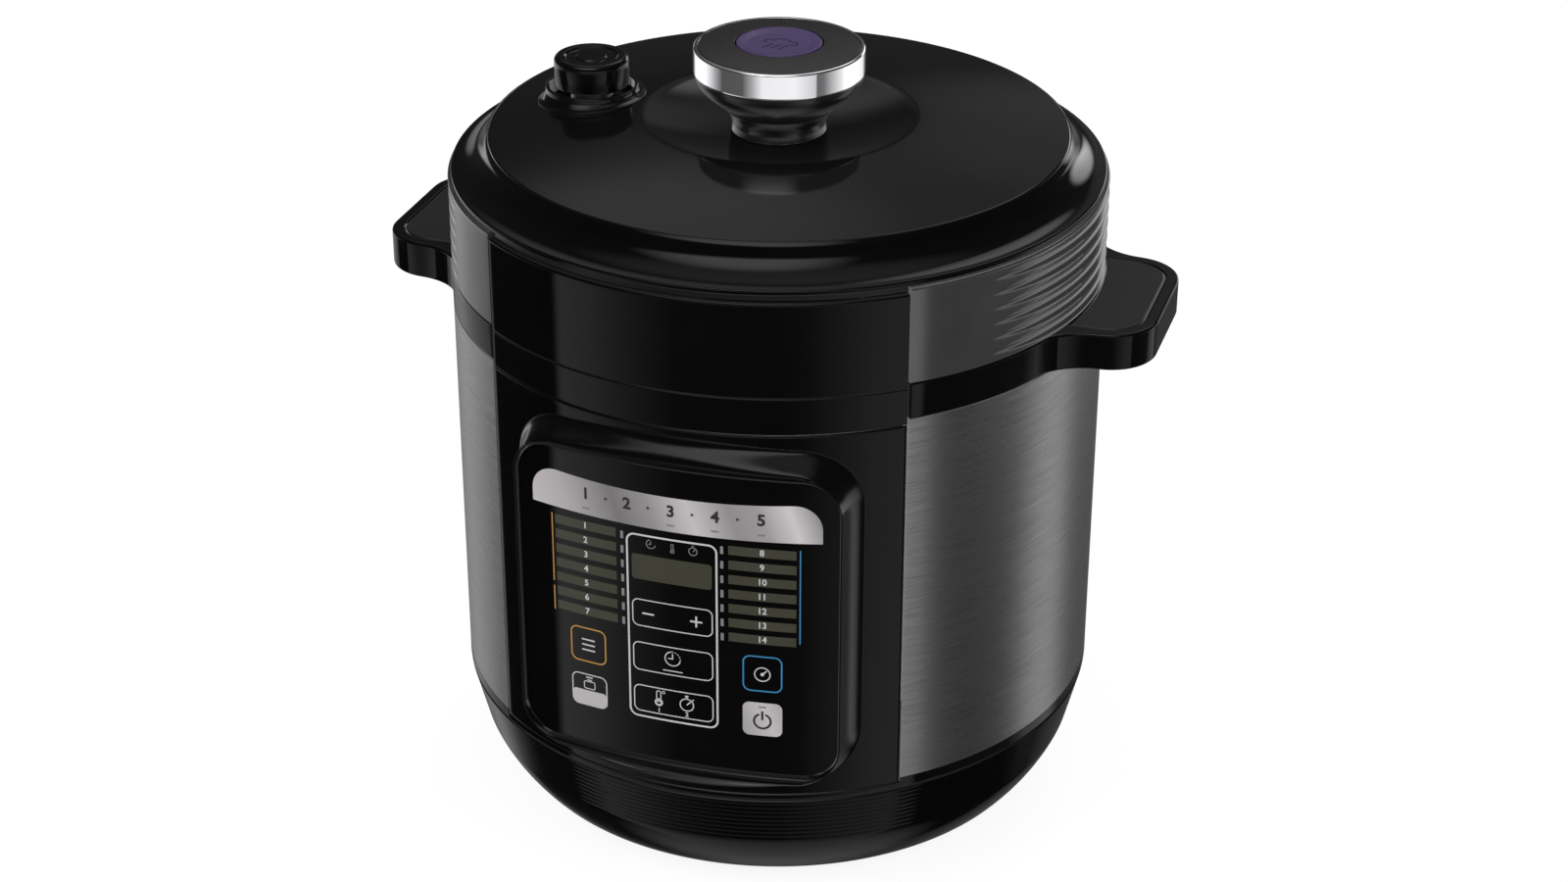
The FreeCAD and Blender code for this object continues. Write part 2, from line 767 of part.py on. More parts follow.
def panel_pieces():
    """The glossy panel, the board behind it, its display and its touch contacts."""
    overlay = new_body("panel_overlay")
    gap = d.fit_gap
    outline = rounded((-d.window_half_width + gap, d.window_half_width - gap),
                      (d.window_bottom + gap, d.window_top - gap), d.window_corner - gap)
    hollow = d.panel_radius - d.panel_wall
    start = d.panel_reach - d.panel_radius + leg(hollow, d.window_half_width) - d.panel_wall
    pushed(overlay, lambda s: draw(s, outline), d.panel_reach - start + d.panel_wall, "XZ_Plane", start)
    axis = d.panel_radius - d.panel_reach
    tall = (d.window_bottom - 1, d.window_top + 1)
    outside = rectangle((axis - d.panel_radius - d.bezel_corner, axis - d.panel_radius), tall)
    turned(overlay, outside, panel_sweep, "YZ_Plane", cut=True, axis_at=axis)
    behind = rectangle((axis - hollow, axis - hollow + d.bezel_corner), tall)
    turned(overlay, behind, panel_sweep, "YZ_Plane", cut=True, axis_at=axis)
    # stands that carry the board
    side = d.board_half_width - d.touch_radius
    depth = d.panel_reach - d.panel_radius + leg(d.panel_radius - d.panel_wall / 2, side) - d.board_plane
    for x in (-side, side):
        for z in (d.board_bottom + d.touch_radius, d.board_top - d.touch_radius):
            stand = d.touch_radius * 0.75
            pushed(overlay, lambda s: circle(s, x, z, stand), depth, "XZ_Plane", d.board_plane)
    back = d.panel_reach - d.panel_wall - hollow - gap
    board = box("control_board", (-d.board_half_width, d.board_half_width),
                (-d.board_plane, d.board_wall - d.board_plane), (d.board_bottom, d.board_top))
    nodes.append(board)
    display_face = -back - leg(hollow, d.display_half_width)
    display = box("display_module", (-d.display_half_width, d.display_half_width),
                  (display_face, -d.board_plane), (d.display_bottom, d.display_top))
    nodes.append(display)
    away = FreeCAD.Rotation(FreeCAD.Vector(1, 0, 0), 90)
    pads = []
    for x, z in touch_places():
        edge = d.touch_radius + x * math.copysign(1, x)
        length = back + leg(hollow, edge) - d.board_plane
        pads.append(rod("touch_pad", d.touch_radius, length, (x, -d.board_plane, z), away))
    group("touch_pads", pads)


def touch_places():
    """The middles of the panel's keys."""
    column = d.display_half_width + d.key_pitch - d.touch_radius / 2
    upper = d.display_bottom - d.key_drop
    middle = upper - d.key_pitch
    lower = middle - d.key_pitch
    places = [(column * side, z) for side in (-1, 1) for z in (lower, middle)]
    places += [(d.display_half_width * (0.55 * side), upper) for side in (-1, 1)]
    places += [(d.touch_radius * 0.01, z) for z in (lower, middle)]
    return places


def grip_outline():
    """A handle seen from above: hollow roots that run into the ring, and a round-cornered grip."""
    half = d.handle_half_width
    knee = d.handle_reach - d.handle_corner * 0.93
    inner = d.body_radius - d.band_depth + 2 * d.handle_bite
    root = d.handle_root_half
    root_x = leg(d.body_radius - d.handle_bite, root)
    return [
        (leg(inner, root), -root),
        (root_x, -root, -d.handle_root_radius),
        (knee, -half, d.handle_corner),
        (d.handle_reach, d.handle_corner - half),
        (d.handle_reach, half - d.handle_corner, d.handle_corner),
        (knee, half, -d.handle_root_radius),
        (root_x, root),
        (leg(inner, root), root, -inner),
    ]


def cap_outline(gap):
    """The panel let into a handle's top, drawn in by gap all round."""
    half = d.handle_half_width - d.handle_cap_margin - gap
    reach = d.handle_reach - d.handle_cap_margin - gap
    corner = d.handle_corner - d.handle_cap_margin - gap
    knee = reach - corner
    inner = d.body_radius + d.fit_gap + gap
    return [
        (leg(inner, half), -half),
        (knee, -half, corner),
        (reach, corner - half),
        (reach, half - corner, corner),
        (knee, half),
        (leg(inner, half), half, -inner),
    ]


def mirrored(corners, side):
    """The same outline on the other side of the housing."""
    if side > 0:
        return corners
    flipped = [(-c[0],) + tuple(c[1:2]) for c in corners]
    bends = [c[2] if len(c) == 3 else None for c in corners]
    order = list(range(len(corners) - 1, -1, -1))
    result = []
    for i in order:
        bend = bends[(i - 1) % len(corners)]
        result.append(flipped[i] if bend is None else flipped[i] + (bend,))
    return result


def handles():
    """The band under the collar with a solid grip at each side, and the caps let into the grips."""
    ring = new_body("handle_ring")
    band_inner = d.body_radius - d.band_depth
    turned(ring, rectangle((band_inner, d.body_radius), (z_band, z_collar)), side_angle, "YZ_Plane")
    for side in (-1, 1):
        pushed(ring, lambda s: draw(s, mirrored(grip_outline(), side)), d.band_height, offset=z_band)
    for side in (-1, 1):
        well = mirrored(cap_outline(0 * d.fit_gap), side)
        pushed(ring, lambda s: draw(s, well), d.handle_cap_depth, offset=z_collar, cut=True)
    for side, label in ((-1, "left_handle_cap"), (1, "right_handle_cap")):
        cap = new_body(label)
        top = mirrored(cap_outline(d.fit_gap), side)
        pushed(cap, lambda s: draw(s, top), d.handle_cap_depth, offset=z_collar - d.handle_cap_depth)


def lug_outline(inner, outer, angle, middle):
    """A lug between two radii, seen from above, about the given middle angle."""
    low = middle - angle / 2
    high = middle + angle / 2
    return [
        (inner * cosine(low), inner * sine(low)),
        (outer * cosine(low), outer * sine(low), outer),
        (outer * cosine(high), outer * sine(high)),
        (inner * cosine(high), inner * sine(high), -inner),
    ]


def pots_and_deck():
    """The top deck with its gutter, the lugged outer pot and the cooking pot."""
    deck = new_body("top_deck")
    gutter_in = deck_outer - d.deck_wall - d.gutter_width
    turned(deck, [
        (deck_inner, z_collar),
        (deck_outer, z_collar),
        (deck_outer, z_rim),
        (deck_outer - d.deck_wall, z_rim),
        (deck_outer - d.deck_wall, z_collar + d.deck_wall),
        (gutter_in, z_collar + d.deck_wall),
        (gutter_in, z_flange),
        (deck_inner, z_flange),
    ])
    spout = d.drain_radius + d.drain_wall
    pushed(deck, lambda s: circle(s, 0, d.drain_place, spout), d.drain_length + d.deck_wall / 2,
           offset=z_collar - d.drain_length)
    pushed(deck, lambda s: circle(s, 0, d.drain_place, d.drain_radius), d.drain_length + d.deck_wall + 1,
           offset=z_collar + d.deck_wall, cut=True)

    outer = new_body("outer_pot")
    wall_in = d.outer_pot_radius - d.outer_pot_wall
    floor = d.outer_pot_bottom + d.outer_pot_wall
    turned(outer, [
        (d.outer_pot_hole, d.outer_pot_bottom),
        (d.outer_pot_radius, d.outer_pot_bottom),
        (d.outer_pot_radius, z_flange),
        (d.outer_pot_radius + d.flange_width, z_flange),
        (d.outer_pot_radius + d.flange_width, z_flange_top),
        (wall_in, z_flange_top),
        (wall_in, floor),
        (d.outer_pot_hole, floor),
    ])
    flange_edge = d.outer_pot_radius + d.flange_width
    tooth = lug_outline(flange_edge - 1, flange_edge + d.lug_reach, d.lug_angle, 0 * d.lug_angle)
    lug = pushed(outer, lambda s: draw(s, tooth), d.flange_height, offset=z_flange)
    round_pattern(outer, lug, d.lug_count)

    pot = new_body("inner_pot")
    out = d.pot_radius + d.pot_wall
    rim = out + d.pot_rim_width
    turned(pot, [
        (0, d.pot_bottom),
        (out - d.pot_corner, d.pot_bottom, d.pot_corner),
        (out, d.pot_bottom + d.pot_corner),
        (out, z_flange_top),
        (rim, z_flange_top),
        (rim, z_flange_top + d.pot_wall),
        (d.pot_radius, z_flange_top + d.pot_wall),
        (d.pot_radius, d.pot_bottom + d.pot_corner, -(d.pot_corner - d.pot_wall)),
        (out - d.pot_corner, d.pot_bottom + d.pot_wall),
        (0, d.pot_bottom + d.pot_wall),
    ])


def heating():
    """The cast heating plate on its posts, and the sprung temperature sensor in its middle."""
    plate = new_body("heating_plate")
    low = d.pot_bottom - d.plate_wall
    ring_in = d.element_circle - d.element_width / 2
    ring_out = d.element_circle + d.element_width / 2
    turned(plate, [
        (d.plate_hole, d.pot_bottom),
        (d.plate_hole, low),
        (ring_in, low),
        (ring_in + 1, low - d.element_drop),
        (ring_out - 1, low - d.element_drop),
        (ring_out, low),
        (d.plate_radius, low + 2),
        (d.plate_radius, d.pot_bottom),
    ])
    floor = d.outer_pot_bottom + d.outer_pot_wall
    posts = []
    for angle in (90, 210, 330):
        turn = math.radians(angle)
        spot = (d.post_circle * math.cos(turn), d.post_circle * math.sin(turn), floor)
        posts.append(rod("plate_post", d.touch_radius, low - floor, spot))
    group("plate_posts", posts)
    bracket = new_body("sensor_bracket")
    under = d.outer_pot_bottom - d.bracket_wall
    bore = d.sensor_stem + d.float_play
    turned(bracket, rectangle((bore, d.bracket_radius), (under, d.outer_pot_bottom)))
    sensor = new_body("thermal_sensor")
    top = d.pot_bottom - d.fit_gap
    cap_low = top - d.sensor_cap_height
    turned(sensor, [
        (0, top),
        (0, cap_low - d.sensor_stem_length),
        (d.sensor_stem, cap_low - d.sensor_stem_length),
        (d.sensor_stem, cap_low),
        (d.sensor_radius, cap_low),
        (d.sensor_radius, top - 1),
        (d.sensor_radius - 1, top),
    ])


def electronics():
    """The power board with its parts and the mains inlet at the back."""
    z_board = z_cover + d.cover_flange + d.board_stand
    half_w = d.power_board_width / 2
    low_y = d.power_board_shift - d.power_board_depth / 2
    high_y = d.power_board_shift + d.power_board_depth / 2
    board = box("power_board", (-half_w, half_w), (low_y, high_y), (z_board, z_board + d.board_wall))
    nodes.append(board)
    top = z_board + d.board_wall
    left = d.part_margin - half_w
    right = half_w - d.part_margin
    front = low_y + d.part_margin
    rear = high_y - d.part_margin
    small = d.capacitor_radius * 0.6
    parts = [
        box("transformer", (left, left + d.transformer_width), (front, front + d.transformer_depth),
            (top, top + d.transformer_height)),
        box("relay", (right - d.relay_width, right), (front, front + d.relay_depth),
            (top, top + d.relay_depth)),
        box("terminal_block", (left, left + d.transformer_width), (rear - d.terminal_depth, rear),
            (top, top + d.terminal_height)),
        rod("capacitor", d.capacitor_radius, d.capacitor_height,
            (right - d.capacitor_radius, rear - d.capacitor_radius, top)),
        rod("small_capacitor", small, d.terminal_height,
            (right - d.transformer_width - small, rear - small, top)),
    ]
    group("power_parts", parts)
    inlet = new_body("power_inlet")
    half = d.inlet_width / 2
    back = d.inlet_face - d.inlet_depth
    high = d.inlet_bottom + d.inlet_height
    shell = rounded((-half, half), (d.inlet_bottom, high), d.inlet_wall)
    pushed(inlet, lambda s: draw(s, shell), d.inlet_depth, "XZ_Plane", -d.inlet_face)
    inner = rounded((-half + d.inlet_wall, half - d.inlet_wall),
                    (d.inlet_bottom + d.inlet_wall, high - d.inlet_wall), d.inlet_wall * 1.5)
    pushed(inlet, lambda s: draw(s, inner), d.inlet_socket_depth, "XZ_Plane", -d.inlet_face,
           cut=True, back=True)
    floor = d.inlet_face - d.inlet_socket_depth
    pins = []
    for x, z in ((-1, -0.3), (0, 0.3), (1, -0.3)):
        middle = d.pin_pitch * x
        height = inlet_middle + d.inlet_height * (0.5 * z)
        pins.append(box("pin", (middle - 1, middle + 1), (floor, floor + d.pin_length),
                        (height - 2, height + 2)))
    group("inlet_pins", pins)


def condensation():
    """The drip cup at the back and the holder let into the steel wrap."""
    gap = d.holder_gap
    wall = d.holder_wall
    half = d.cup_half_width + gap
    low = d.cup_bottom - gap
    high = d.cup_bottom + d.cup_height + gap
    back = d.cup_back - gap
    face = leg(d.body_radius, half + wall)
    holder = new_body("cup_holder")
    tray = rectangle((-half - wall, half + wall), (back - wall, face))
    pushed(holder, lambda s: draw(s, tray), high - low + wall, offset=low - wall)
    room = rectangle((-half, half), (back, face + 1))
    pushed(holder, lambda s: draw(s, room), high - low + 1, offset=high + 1, cut=True)
    cup = new_body("condensation_cup")
    reach = d.panel_reach + d.bezel_proud
    grip = rounded((-d.cup_half_width, d.cup_half_width), (d.cup_back, reach), d.cup_wall * 2)
    pushed(cup, lambda s: draw(s, grip), d.cup_height, offset=d.cup_bottom)
    hollow = rounded((-d.cup_half_width + d.cup_wall, d.cup_half_width - d.cup_wall),
                     (d.cup_back + d.cup_wall, reach - d.cup_wall * 2), d.cup_wall)
    brim = d.cup_bottom + d.cup_height
    pushed(cup, lambda s: draw(s, hollow), d.cup_height - d.cup_wall, offset=brim, cut=True)


# Heights inside the lid
z_seat = z_plate - d.lid_wall - d.rim_round / 2
z_dome = z_plate + (d.dome_radius - leg(d.dome_radius, d.plate_edge_radius))
z_dish_rim = z_dome - (d.dome_radius - leg(d.dome_radius, d.dish_rim_radius))
dish_edge = d.dish_rim_radius - d.dish_rim_width
z_dish_edge = z_dish_rim - d.dish_rim_width * 0.25
z_dish_centre = z_dish_edge + leg(d.dish_radius, dish_edge)
z_pot_rim = z_flange_top + d.pot_wall
z_seal = z_pot_rim + d.seal_clearance
z_inner_flange = z_seal + d.seal_height
z_inner_lid = z_inner_flange + d.inner_lid_wall - d.inner_lid_step
z_spider = z_inner_lid + d.spider_lift
z_knob = z_dish_centre - leg(d.dish_radius, d.knob_neck) + d.knob_foot_gap
z_knob_top = z_knob + d.knob_height
z_ring_top = z_knob_top + d.knob_ring_height
cap_outer = d.knob_radius - d.knob_ring_wall - d.fit_gap
cap_hole = d.button_radius + d.fit_gap
z_cap = z_ring_top + leg(d.knob_dome, cap_hole) - leg(d.knob_dome, cap_outer)
z_button = z_cap + d.button_proud
z_rod = z_spider - d.spider_wall * 1.5
z_valve = z_dome - (d.dome_radius - leg(d.dome_radius, d.valve_offset)) + d.valve_lift_off
z_stem = z_valve - d.valve_stem_length
z_lever_tip = z_rod - d.lever_play
z_pivot = z_lever_tip + d.lever_wall * 0.8
lock_inner = d.outer_pot_radius + d.flange_width + d.lug_reach + d.lug_gap


def lid_shells():
    """The coved outer ring and the domed plate with its dish, and the valve's collar on it."""
    ring = new_body("lid_ring")
    wall = d.lid_wall
    rim_top = z_lid + d.rim_height
    cove_x = d.rim_radius
    cove_z = rim_top + d.cove_radius
    seat_in = d.plate_edge_radius - d.seat_width
    edge = d.plate_edge_radius + d.fit_gap
    wall_top = cove_z - d.cove_radius * 0.25
    wall_x = cove_x - leg(d.cove_radius, d.cove_radius * 0.25)
    under_z = cove_z - leg(d.cove_radius + wall, wall * 1.4)
    turned(ring, [
        (d.rim_radius, z_lid),
        (d.rim_radius, rim_top - d.rim_round, d.rim_round),
        (d.rim_radius - d.rim_round, rim_top, -d.cove_radius),
        (wall_x, wall_top),
        (edge, z_plate),
        (edge, z_seat),
        (seat_in, z_seat),
        (seat_in, z_seat - wall),
        (edge - wall, z_seat - wall, d.cove_radius + wall),
        (cove_x - wall * 1.4, under_z),
        (cove_x - wall * 1.4, z_lid),
    ])
    plate = new_body("lid_plate")
    hub = d.shaft_radius + d.fit_gap
    low_rim = d.dish_rim_radius - wall * 0.2
    low_edge = dish_edge - wall * 0.2
    z_low_rim = z_dome - (d.dome_radius - leg(d.dome_radius - wall, low_rim))
    z_low_edge = z_dish_centre - leg(d.dish_radius + wall, low_edge)
    plate_in = d.plate_edge_radius - wall
    soft_edge = d.plate_edge_radius - d.rim_round
    z_soft = z_dome - (d.dome_radius - leg(d.dome_radius, soft_edge))
    turned(plate, [
        (d.plate_edge_radius, z_seat),
        (d.plate_edge_radius, z_plate - d.rim_round, d.rim_round),
        (soft_edge, z_soft, d.dome_radius),
        (d.dish_rim_radius, z_dish_rim, d.dish_rim_round),
        (dish_edge, z_dish_edge, -d.dish_radius),
        (hub, z_dish_centre - leg(d.dish_radius, hub)),
        (hub, z_dish_centre - leg(d.dish_radius + wall, hub)),
        (low_edge, z_low_edge),
        (low_rim, z_low_rim, wall - d.dome_radius),
        (plate_in, z_dome - (d.dome_radius - leg(d.dome_radius - wall, plate_in))),
        (plate_in, z_seat),
    ])
    pushed(plate, lambda s: circle(s, -d.valve_offset, 0, d.valve_hole), d.body_radius,
           offset=z_button, cut=True)
    collar = new_body("valve_collar", x=-d.valve_offset)
    z_lip = z_valve - d.valve_lift_off + d.collar_rise
    z_foot = z_plate - d.lid_wall
    out = d.collar_bore + d.collar_lip
    turned(collar, [
        (d.collar_bore, z_foot),
        (d.collar_skirt, z_foot),
        (d.collar_skirt, z_lip - d.collar_rise * 1.1),
        (out + d.collar_lip, z_lip - d.collar_rise * 0.7),
        (out, z_lip),
        (d.collar_bore, z_lip),
    ])
    turned(collar, [
        (d.valve_offset, z_foot - 1),
        (d.valve_offset - d.plate_edge_radius, z_foot - 1),
        (d.valve_offset - d.plate_edge_radius, z_plate, -d.dome_radius),
        (d.valve_offset, z_dome),
    ], cut=True, axis_at=d.valve_offset)


def inner_lid_pieces():
    """The pressure lid with its seal, posts and screws."""
    lid = new_body("inner_lid")
    top = z_inner_flange + d.inner_lid_wall
    core = d.inner_lid_core
    low = z_inner_lid - d.inner_lid_wall
    turned(lid, [
        (0, low),
        (core, low),
        (core, z_inner_flange),
        (d.inner_lid_radius, z_inner_flange),
        (d.inner_lid_radius, top),
        (core - d.inner_lid_wall, top),
        (core - d.inner_lid_wall, z_inner_lid),
        (0, z_inner_lid),
    ])

    def holes(sketch):
        circle(sketch, -d.valve_offset, 0, d.vent_pipe_bore)
        spot = float_place()
        circle(sketch, spot[0], spot[1], d.float_radius + d.float_play)
        for spot in post_places():
            circle(sketch, spot[0], spot[1], d.lid_screw_radius + d.fit_gap)

    pushed(lid, holes, d.inner_lid_wall + 1, offset=z_inner_lid + 1, cut=True)
    seal = new_body("sealing_ring")
    turned(seal, [
        (d.seal_inner, z_inner_flange),
        (d.seal_inner, z_seal + d.seal_height / 2),
        (d.seal_inner + d.seal_height / 2, z_seal),
        (d.seal_outer - d.seal_height / 2, z_seal),
        (d.seal_outer, z_seal + d.seal_height / 2),
        (d.seal_outer, z_inner_flange),
    ])
    posts = []
    screws = []
    post_out = d.lid_post_circle + d.lid_post_radius
    ceiling = z_dome - d.dome_radius + leg(d.dome_radius - d.lid_wall, post_out) - d.fit_gap
    for number, spot in enumerate(post_places(), start=1):
        post = doc.addObject("Part::Cut", "lid_post")
        post.Base = rod("post_bar", d.lid_post_radius, ceiling - z_inner_lid, (spot[0], spot[1], z_inner_lid))
        bore = d.lid_screw_radius + d.fit_gap
        bore_low = (spot[0], spot[1], z_inner_lid - 1)
        post.Tool = rod("post_bore", bore, d.lid_screw_length + 1, bore_low)
        posts.append(post)
        screw = doc.addObject("Part::Fuse", "lid_screw")
        shank = d.lid_screw_length - 1
        screw.Base = rod("screw_shank", d.lid_screw_radius, shank + d.inner_lid_wall, (spot[0], spot[1], low))
        head_low = low - d.lid_screw_radius
        screw.Tool = rod("screw_head", d.lid_screw_head, d.lid_screw_radius, (spot[0], spot[1], head_low))
        screws.append(screw)
    group("lid_posts", posts)
    group("lid_screws", screws)


def post_places():
    """The middles of the posts between the spider's arms."""
    return [(d.lid_post_circle * math.cos(math.radians(a)), d.lid_post_circle * math.sin(math.radians(a)))
            for a in (45, 150, 285)]


def float_place():
    return (d.float_circle * cosine(d.float_angle), d.float_circle * sine(d.float_angle))


def valve_pieces():
    """The vent pipe and its filter, and the weight that sits on it."""
    pipe = new_body("vent_pipe", x=-d.valve_offset)
    pipe_top = z_valve - d.valve_stem_bore - d.vent_pipe_top
    turned(pipe, [
        (d.vent_pipe_bore, z_inner_lid),
        (d.vent_pipe_radius, z_inner_lid),
        (d.vent_pipe_radius, pipe_top - d.vent_pipe_bore),
        (d.vent_pipe_radius - d.vent_pipe_bore, pipe_top),
        (d.vent_pipe_bore, pipe_top),
    ])
    cage = new_body("vent_filter", x=-d.valve_offset)
    low = z_inner_lid - d.inner_lid_wall
    bottom = low - d.filter_height
    turned(cage, [
        (0, bottom),
        (d.filter_radius, bottom),
        (d.filter_radius, low),
        (d.filter_radius - d.filter_wall, low),
        (d.filter_radius - d.filter_wall, bottom + d.filter_wall),
        (0, bottom + d.filter_wall),
    ])
    slot = rectangle((d.filter_radius / 2, d.filter_radius + 1), (-d.filter_wall, d.filter_wall))
    slot_top = low - d.filter_height * 0.25
    cut = pushed(cage, lambda s: draw(s, slot), d.filter_height * 0.5, offset=slot_top, cut=True)
    round_pattern(cage, cut, d.filter_slots)
    stem = new_body("valve_stem", x=-d.valve_offset)
    seat = z_valve - d.valve_stem_bore
    turned(stem, [
        (0, seat),
        (d.valve_stem_bore, seat),
        (d.valve_stem_bore, z_stem),
        (d.valve_stem_radius, z_stem),
        (d.valve_stem_radius, z_valve),
        (0, z_valve),
    ])
    cap = new_body("valve_cap", x=-d.valve_offset)
    top = z_valve + d.valve_cap_height
    groove = d.valve_cap_round
    turned(cap, [
        (0, z_valve),
        (d.valve_cap_radius - groove / 2, z_valve),
        (d.valve_cap_radius, z_valve + groove / 2),
        (d.valve_cap_radius, top - groove),
        (d.valve_cap_radius - groove, top),
        (d.valve_cap_radius * 0.72, top),
        (d.valve_cap_radius * 0.66, top - groove / 2),
        (d.valve_cap_radius * 0.42, top - groove / 2),
        (d.valve_cap_radius * 0.38, top - groove / 8),
        (0, top - groove / 8),
    ])


def lever_pieces():
    """The rocking lever that lifts the weight, its bracket and its pin."""
    lever = new_body("release_lever")
    half = d.lever_half_width
    wall = d.lever_wall
    outer_top = z_stem - d.lever_play - wall * 0.4
    fork_root = -d.valve_offset + d.fork_gap + wall
    fork_end = -d.valve_offset - d.fork_gap
    side = [
        (d.rod_radius, z_lever_tip - wall),
        (d.rod_radius, z_lever_tip),
        (-d.spider_hub, z_lever_tip),
        (-d.lever_pivot, z_pivot + wall * 1.2),
        (fork_root, outer_top),
        (fork_root, outer_top - wall),
        (-d.lever_pivot, z_pivot - wall * 1.2),
        (-d.spider_hub, z_lever_tip - wall),
    ]
    pushed(lever, lambda s: draw(s, side), half, "XZ_Plane")
    pushed(lever, lambda s: draw(s, side), half, "XZ_Plane", back=True)
    far = d.fork_gap + d.fork_wall
    yoke = [
        (fork_root + wall, -half),
        (fork_root + wall, half),
        (fork_root - wall * 0.5, far),
        (fork_end, far),
        (fork_end, d.fork_gap),
        (fork_root - wall, d.fork_gap),
        (fork_root - wall, -d.fork_gap),
        (fork_end, -d.fork_gap),
        (fork_end, -far),
        (fork_root - wall * 0.5, -far),
    ]
    pushed(lever, lambda s: draw(s, yoke), wall, offset=outer_top - wall)

    def nubs(sketch):
        for way in (-1, 1):
            spot = (d.fork_gap + d.fork_wall / 2) * way
            circle(sketch, -d.valve_offset, spot, d.fork_wall / 2)

    pushed(lever, nubs, wall * 0.4, offset=outer_top)
    eye = d.lever_pin_radius + d.lever_pin_play
    pushed(lever, lambda s: circle(s, -d.lever_pivot, z_pivot, eye), half * 4, "XZ_Plane", half * 2, cut=True)

    ear_in = half + d.fit_gap
    bracket = new_body("lever_bracket")
    ear = [
        (-d.lever_pivot + wall * 2, z_inner_lid),
        (-d.lever_pivot + wall * 1.5, z_pivot, wall * 1.6),
        (-d.lever_pivot - wall * 1.5, z_pivot),
        (-d.lever_pivot - wall * 2, z_inner_lid),
    ]
    pushed(bracket, lambda s: draw(s, ear), d.ear_wall, "XZ_Plane", ear_in)
    pushed(bracket, lambda s: draw(s, ear), d.ear_wall, "XZ_Plane", -ear_in, back=True)
    foot_half = wall * 2
    ear_out = ear_in + d.ear_wall
    sole = rectangle((-d.lever_pivot - foot_half, foot_half - d.lever_pivot), (-ear_out, ear_out))
    pushed(bracket, lambda s: draw(s, sole), wall * 0.5, offset=z_inner_lid)
    pushed(bracket, lambda s: circle(s, -d.lever_pivot, z_pivot, d.lever_pin_radius), half * 8,
           "XZ_Plane", half * 4, cut=True)
    away = FreeCAD.Rotation(FreeCAD.Vector(1, 0, 0), 90)
    pin_half = ear_in + d.ear_wall
    pin = rod("lever_pin", d.lever_pin_radius, pin_half * 2, (-d.lever_pivot, pin_half, z_pivot), away)
    nodes.append(pin)


def float_pieces():
    """The float that rises with pressure and keeps the spider from turning back."""
    spot = float_place()
    pin = new_body("float_pin", x=spot[0], y=spot[1])
    head_top = z_inner_lid - d.inner_lid_wall - d.float_travel - d.seal_clearance - d.float_head_height / 2
    head_low = head_top - d.float_head_height
    turned(pin, [
        (0, head_low),
        (d.float_head, head_low),
        (d.float_head, head_top),
        (d.float_radius, head_top),
        (d.float_radius, head_low + d.float_length),
        (0, head_low + d.float_length),
    ])
    washer = new_body("float_seal", x=spot[0], y=spot[1])
    washer_top = head_top + d.float_head_height / 2
    turned(washer, rectangle((d.float_radius, d.float_head - 0.5), (head_top, washer_top)))


def lock_pieces():
    """The lock ring with its inward lugs, the spider that turns it and the knob's shaft."""
    ring = new_body("lock_ring")
    low = z_flange - d.lug_gap - d.lug_wall
    turned(ring, rectangle((lock_inner, lock_inner + d.lock_ring_wall), (low, z_spider)))
    flange_edge = d.outer_pot_radius + d.flange_width
    lug = lug_outline(flange_edge + d.lug_gap * 2, lock_inner + d.lug_gap, d.lug_angle, 180 / d.lug_count)
    tooth = pushed(ring, lambda s: draw(s, lug), d.lug_wall, offset=low)
    round_pattern(ring, tooth, d.lug_count)
    spider = new_body("lock_spider")
    bore = d.shaft_radius + 0.05
    turned(spider, rectangle((bore, d.spider_hub), (z_spider, z_spider + d.spider_wall)))
    half = d.spider_arm_width / 2
    reach = lock_inner + d.lock_ring_wall
    bar = rectangle((-half, half), (d.spider_hub - 1, leg(reach, half)))
    arm = pushed(spider, lambda s: draw(s, bar), d.spider_wall, offset=z_spider)
    round_pattern(spider, arm, 3)
    shaft = new_body("knob_shaft")
    top = z_knob + d.socket_depth
    turned(shaft, [
        (d.shaft_bore, z_spider - d.spider_wall / 2),
        (d.shaft_flange, z_spider - d.spider_wall / 2),
        (d.shaft_flange, z_spider),
        (d.shaft_radius, z_spider),
        (d.shaft_radius, top),
        (d.shaft_bore, top),
    ])


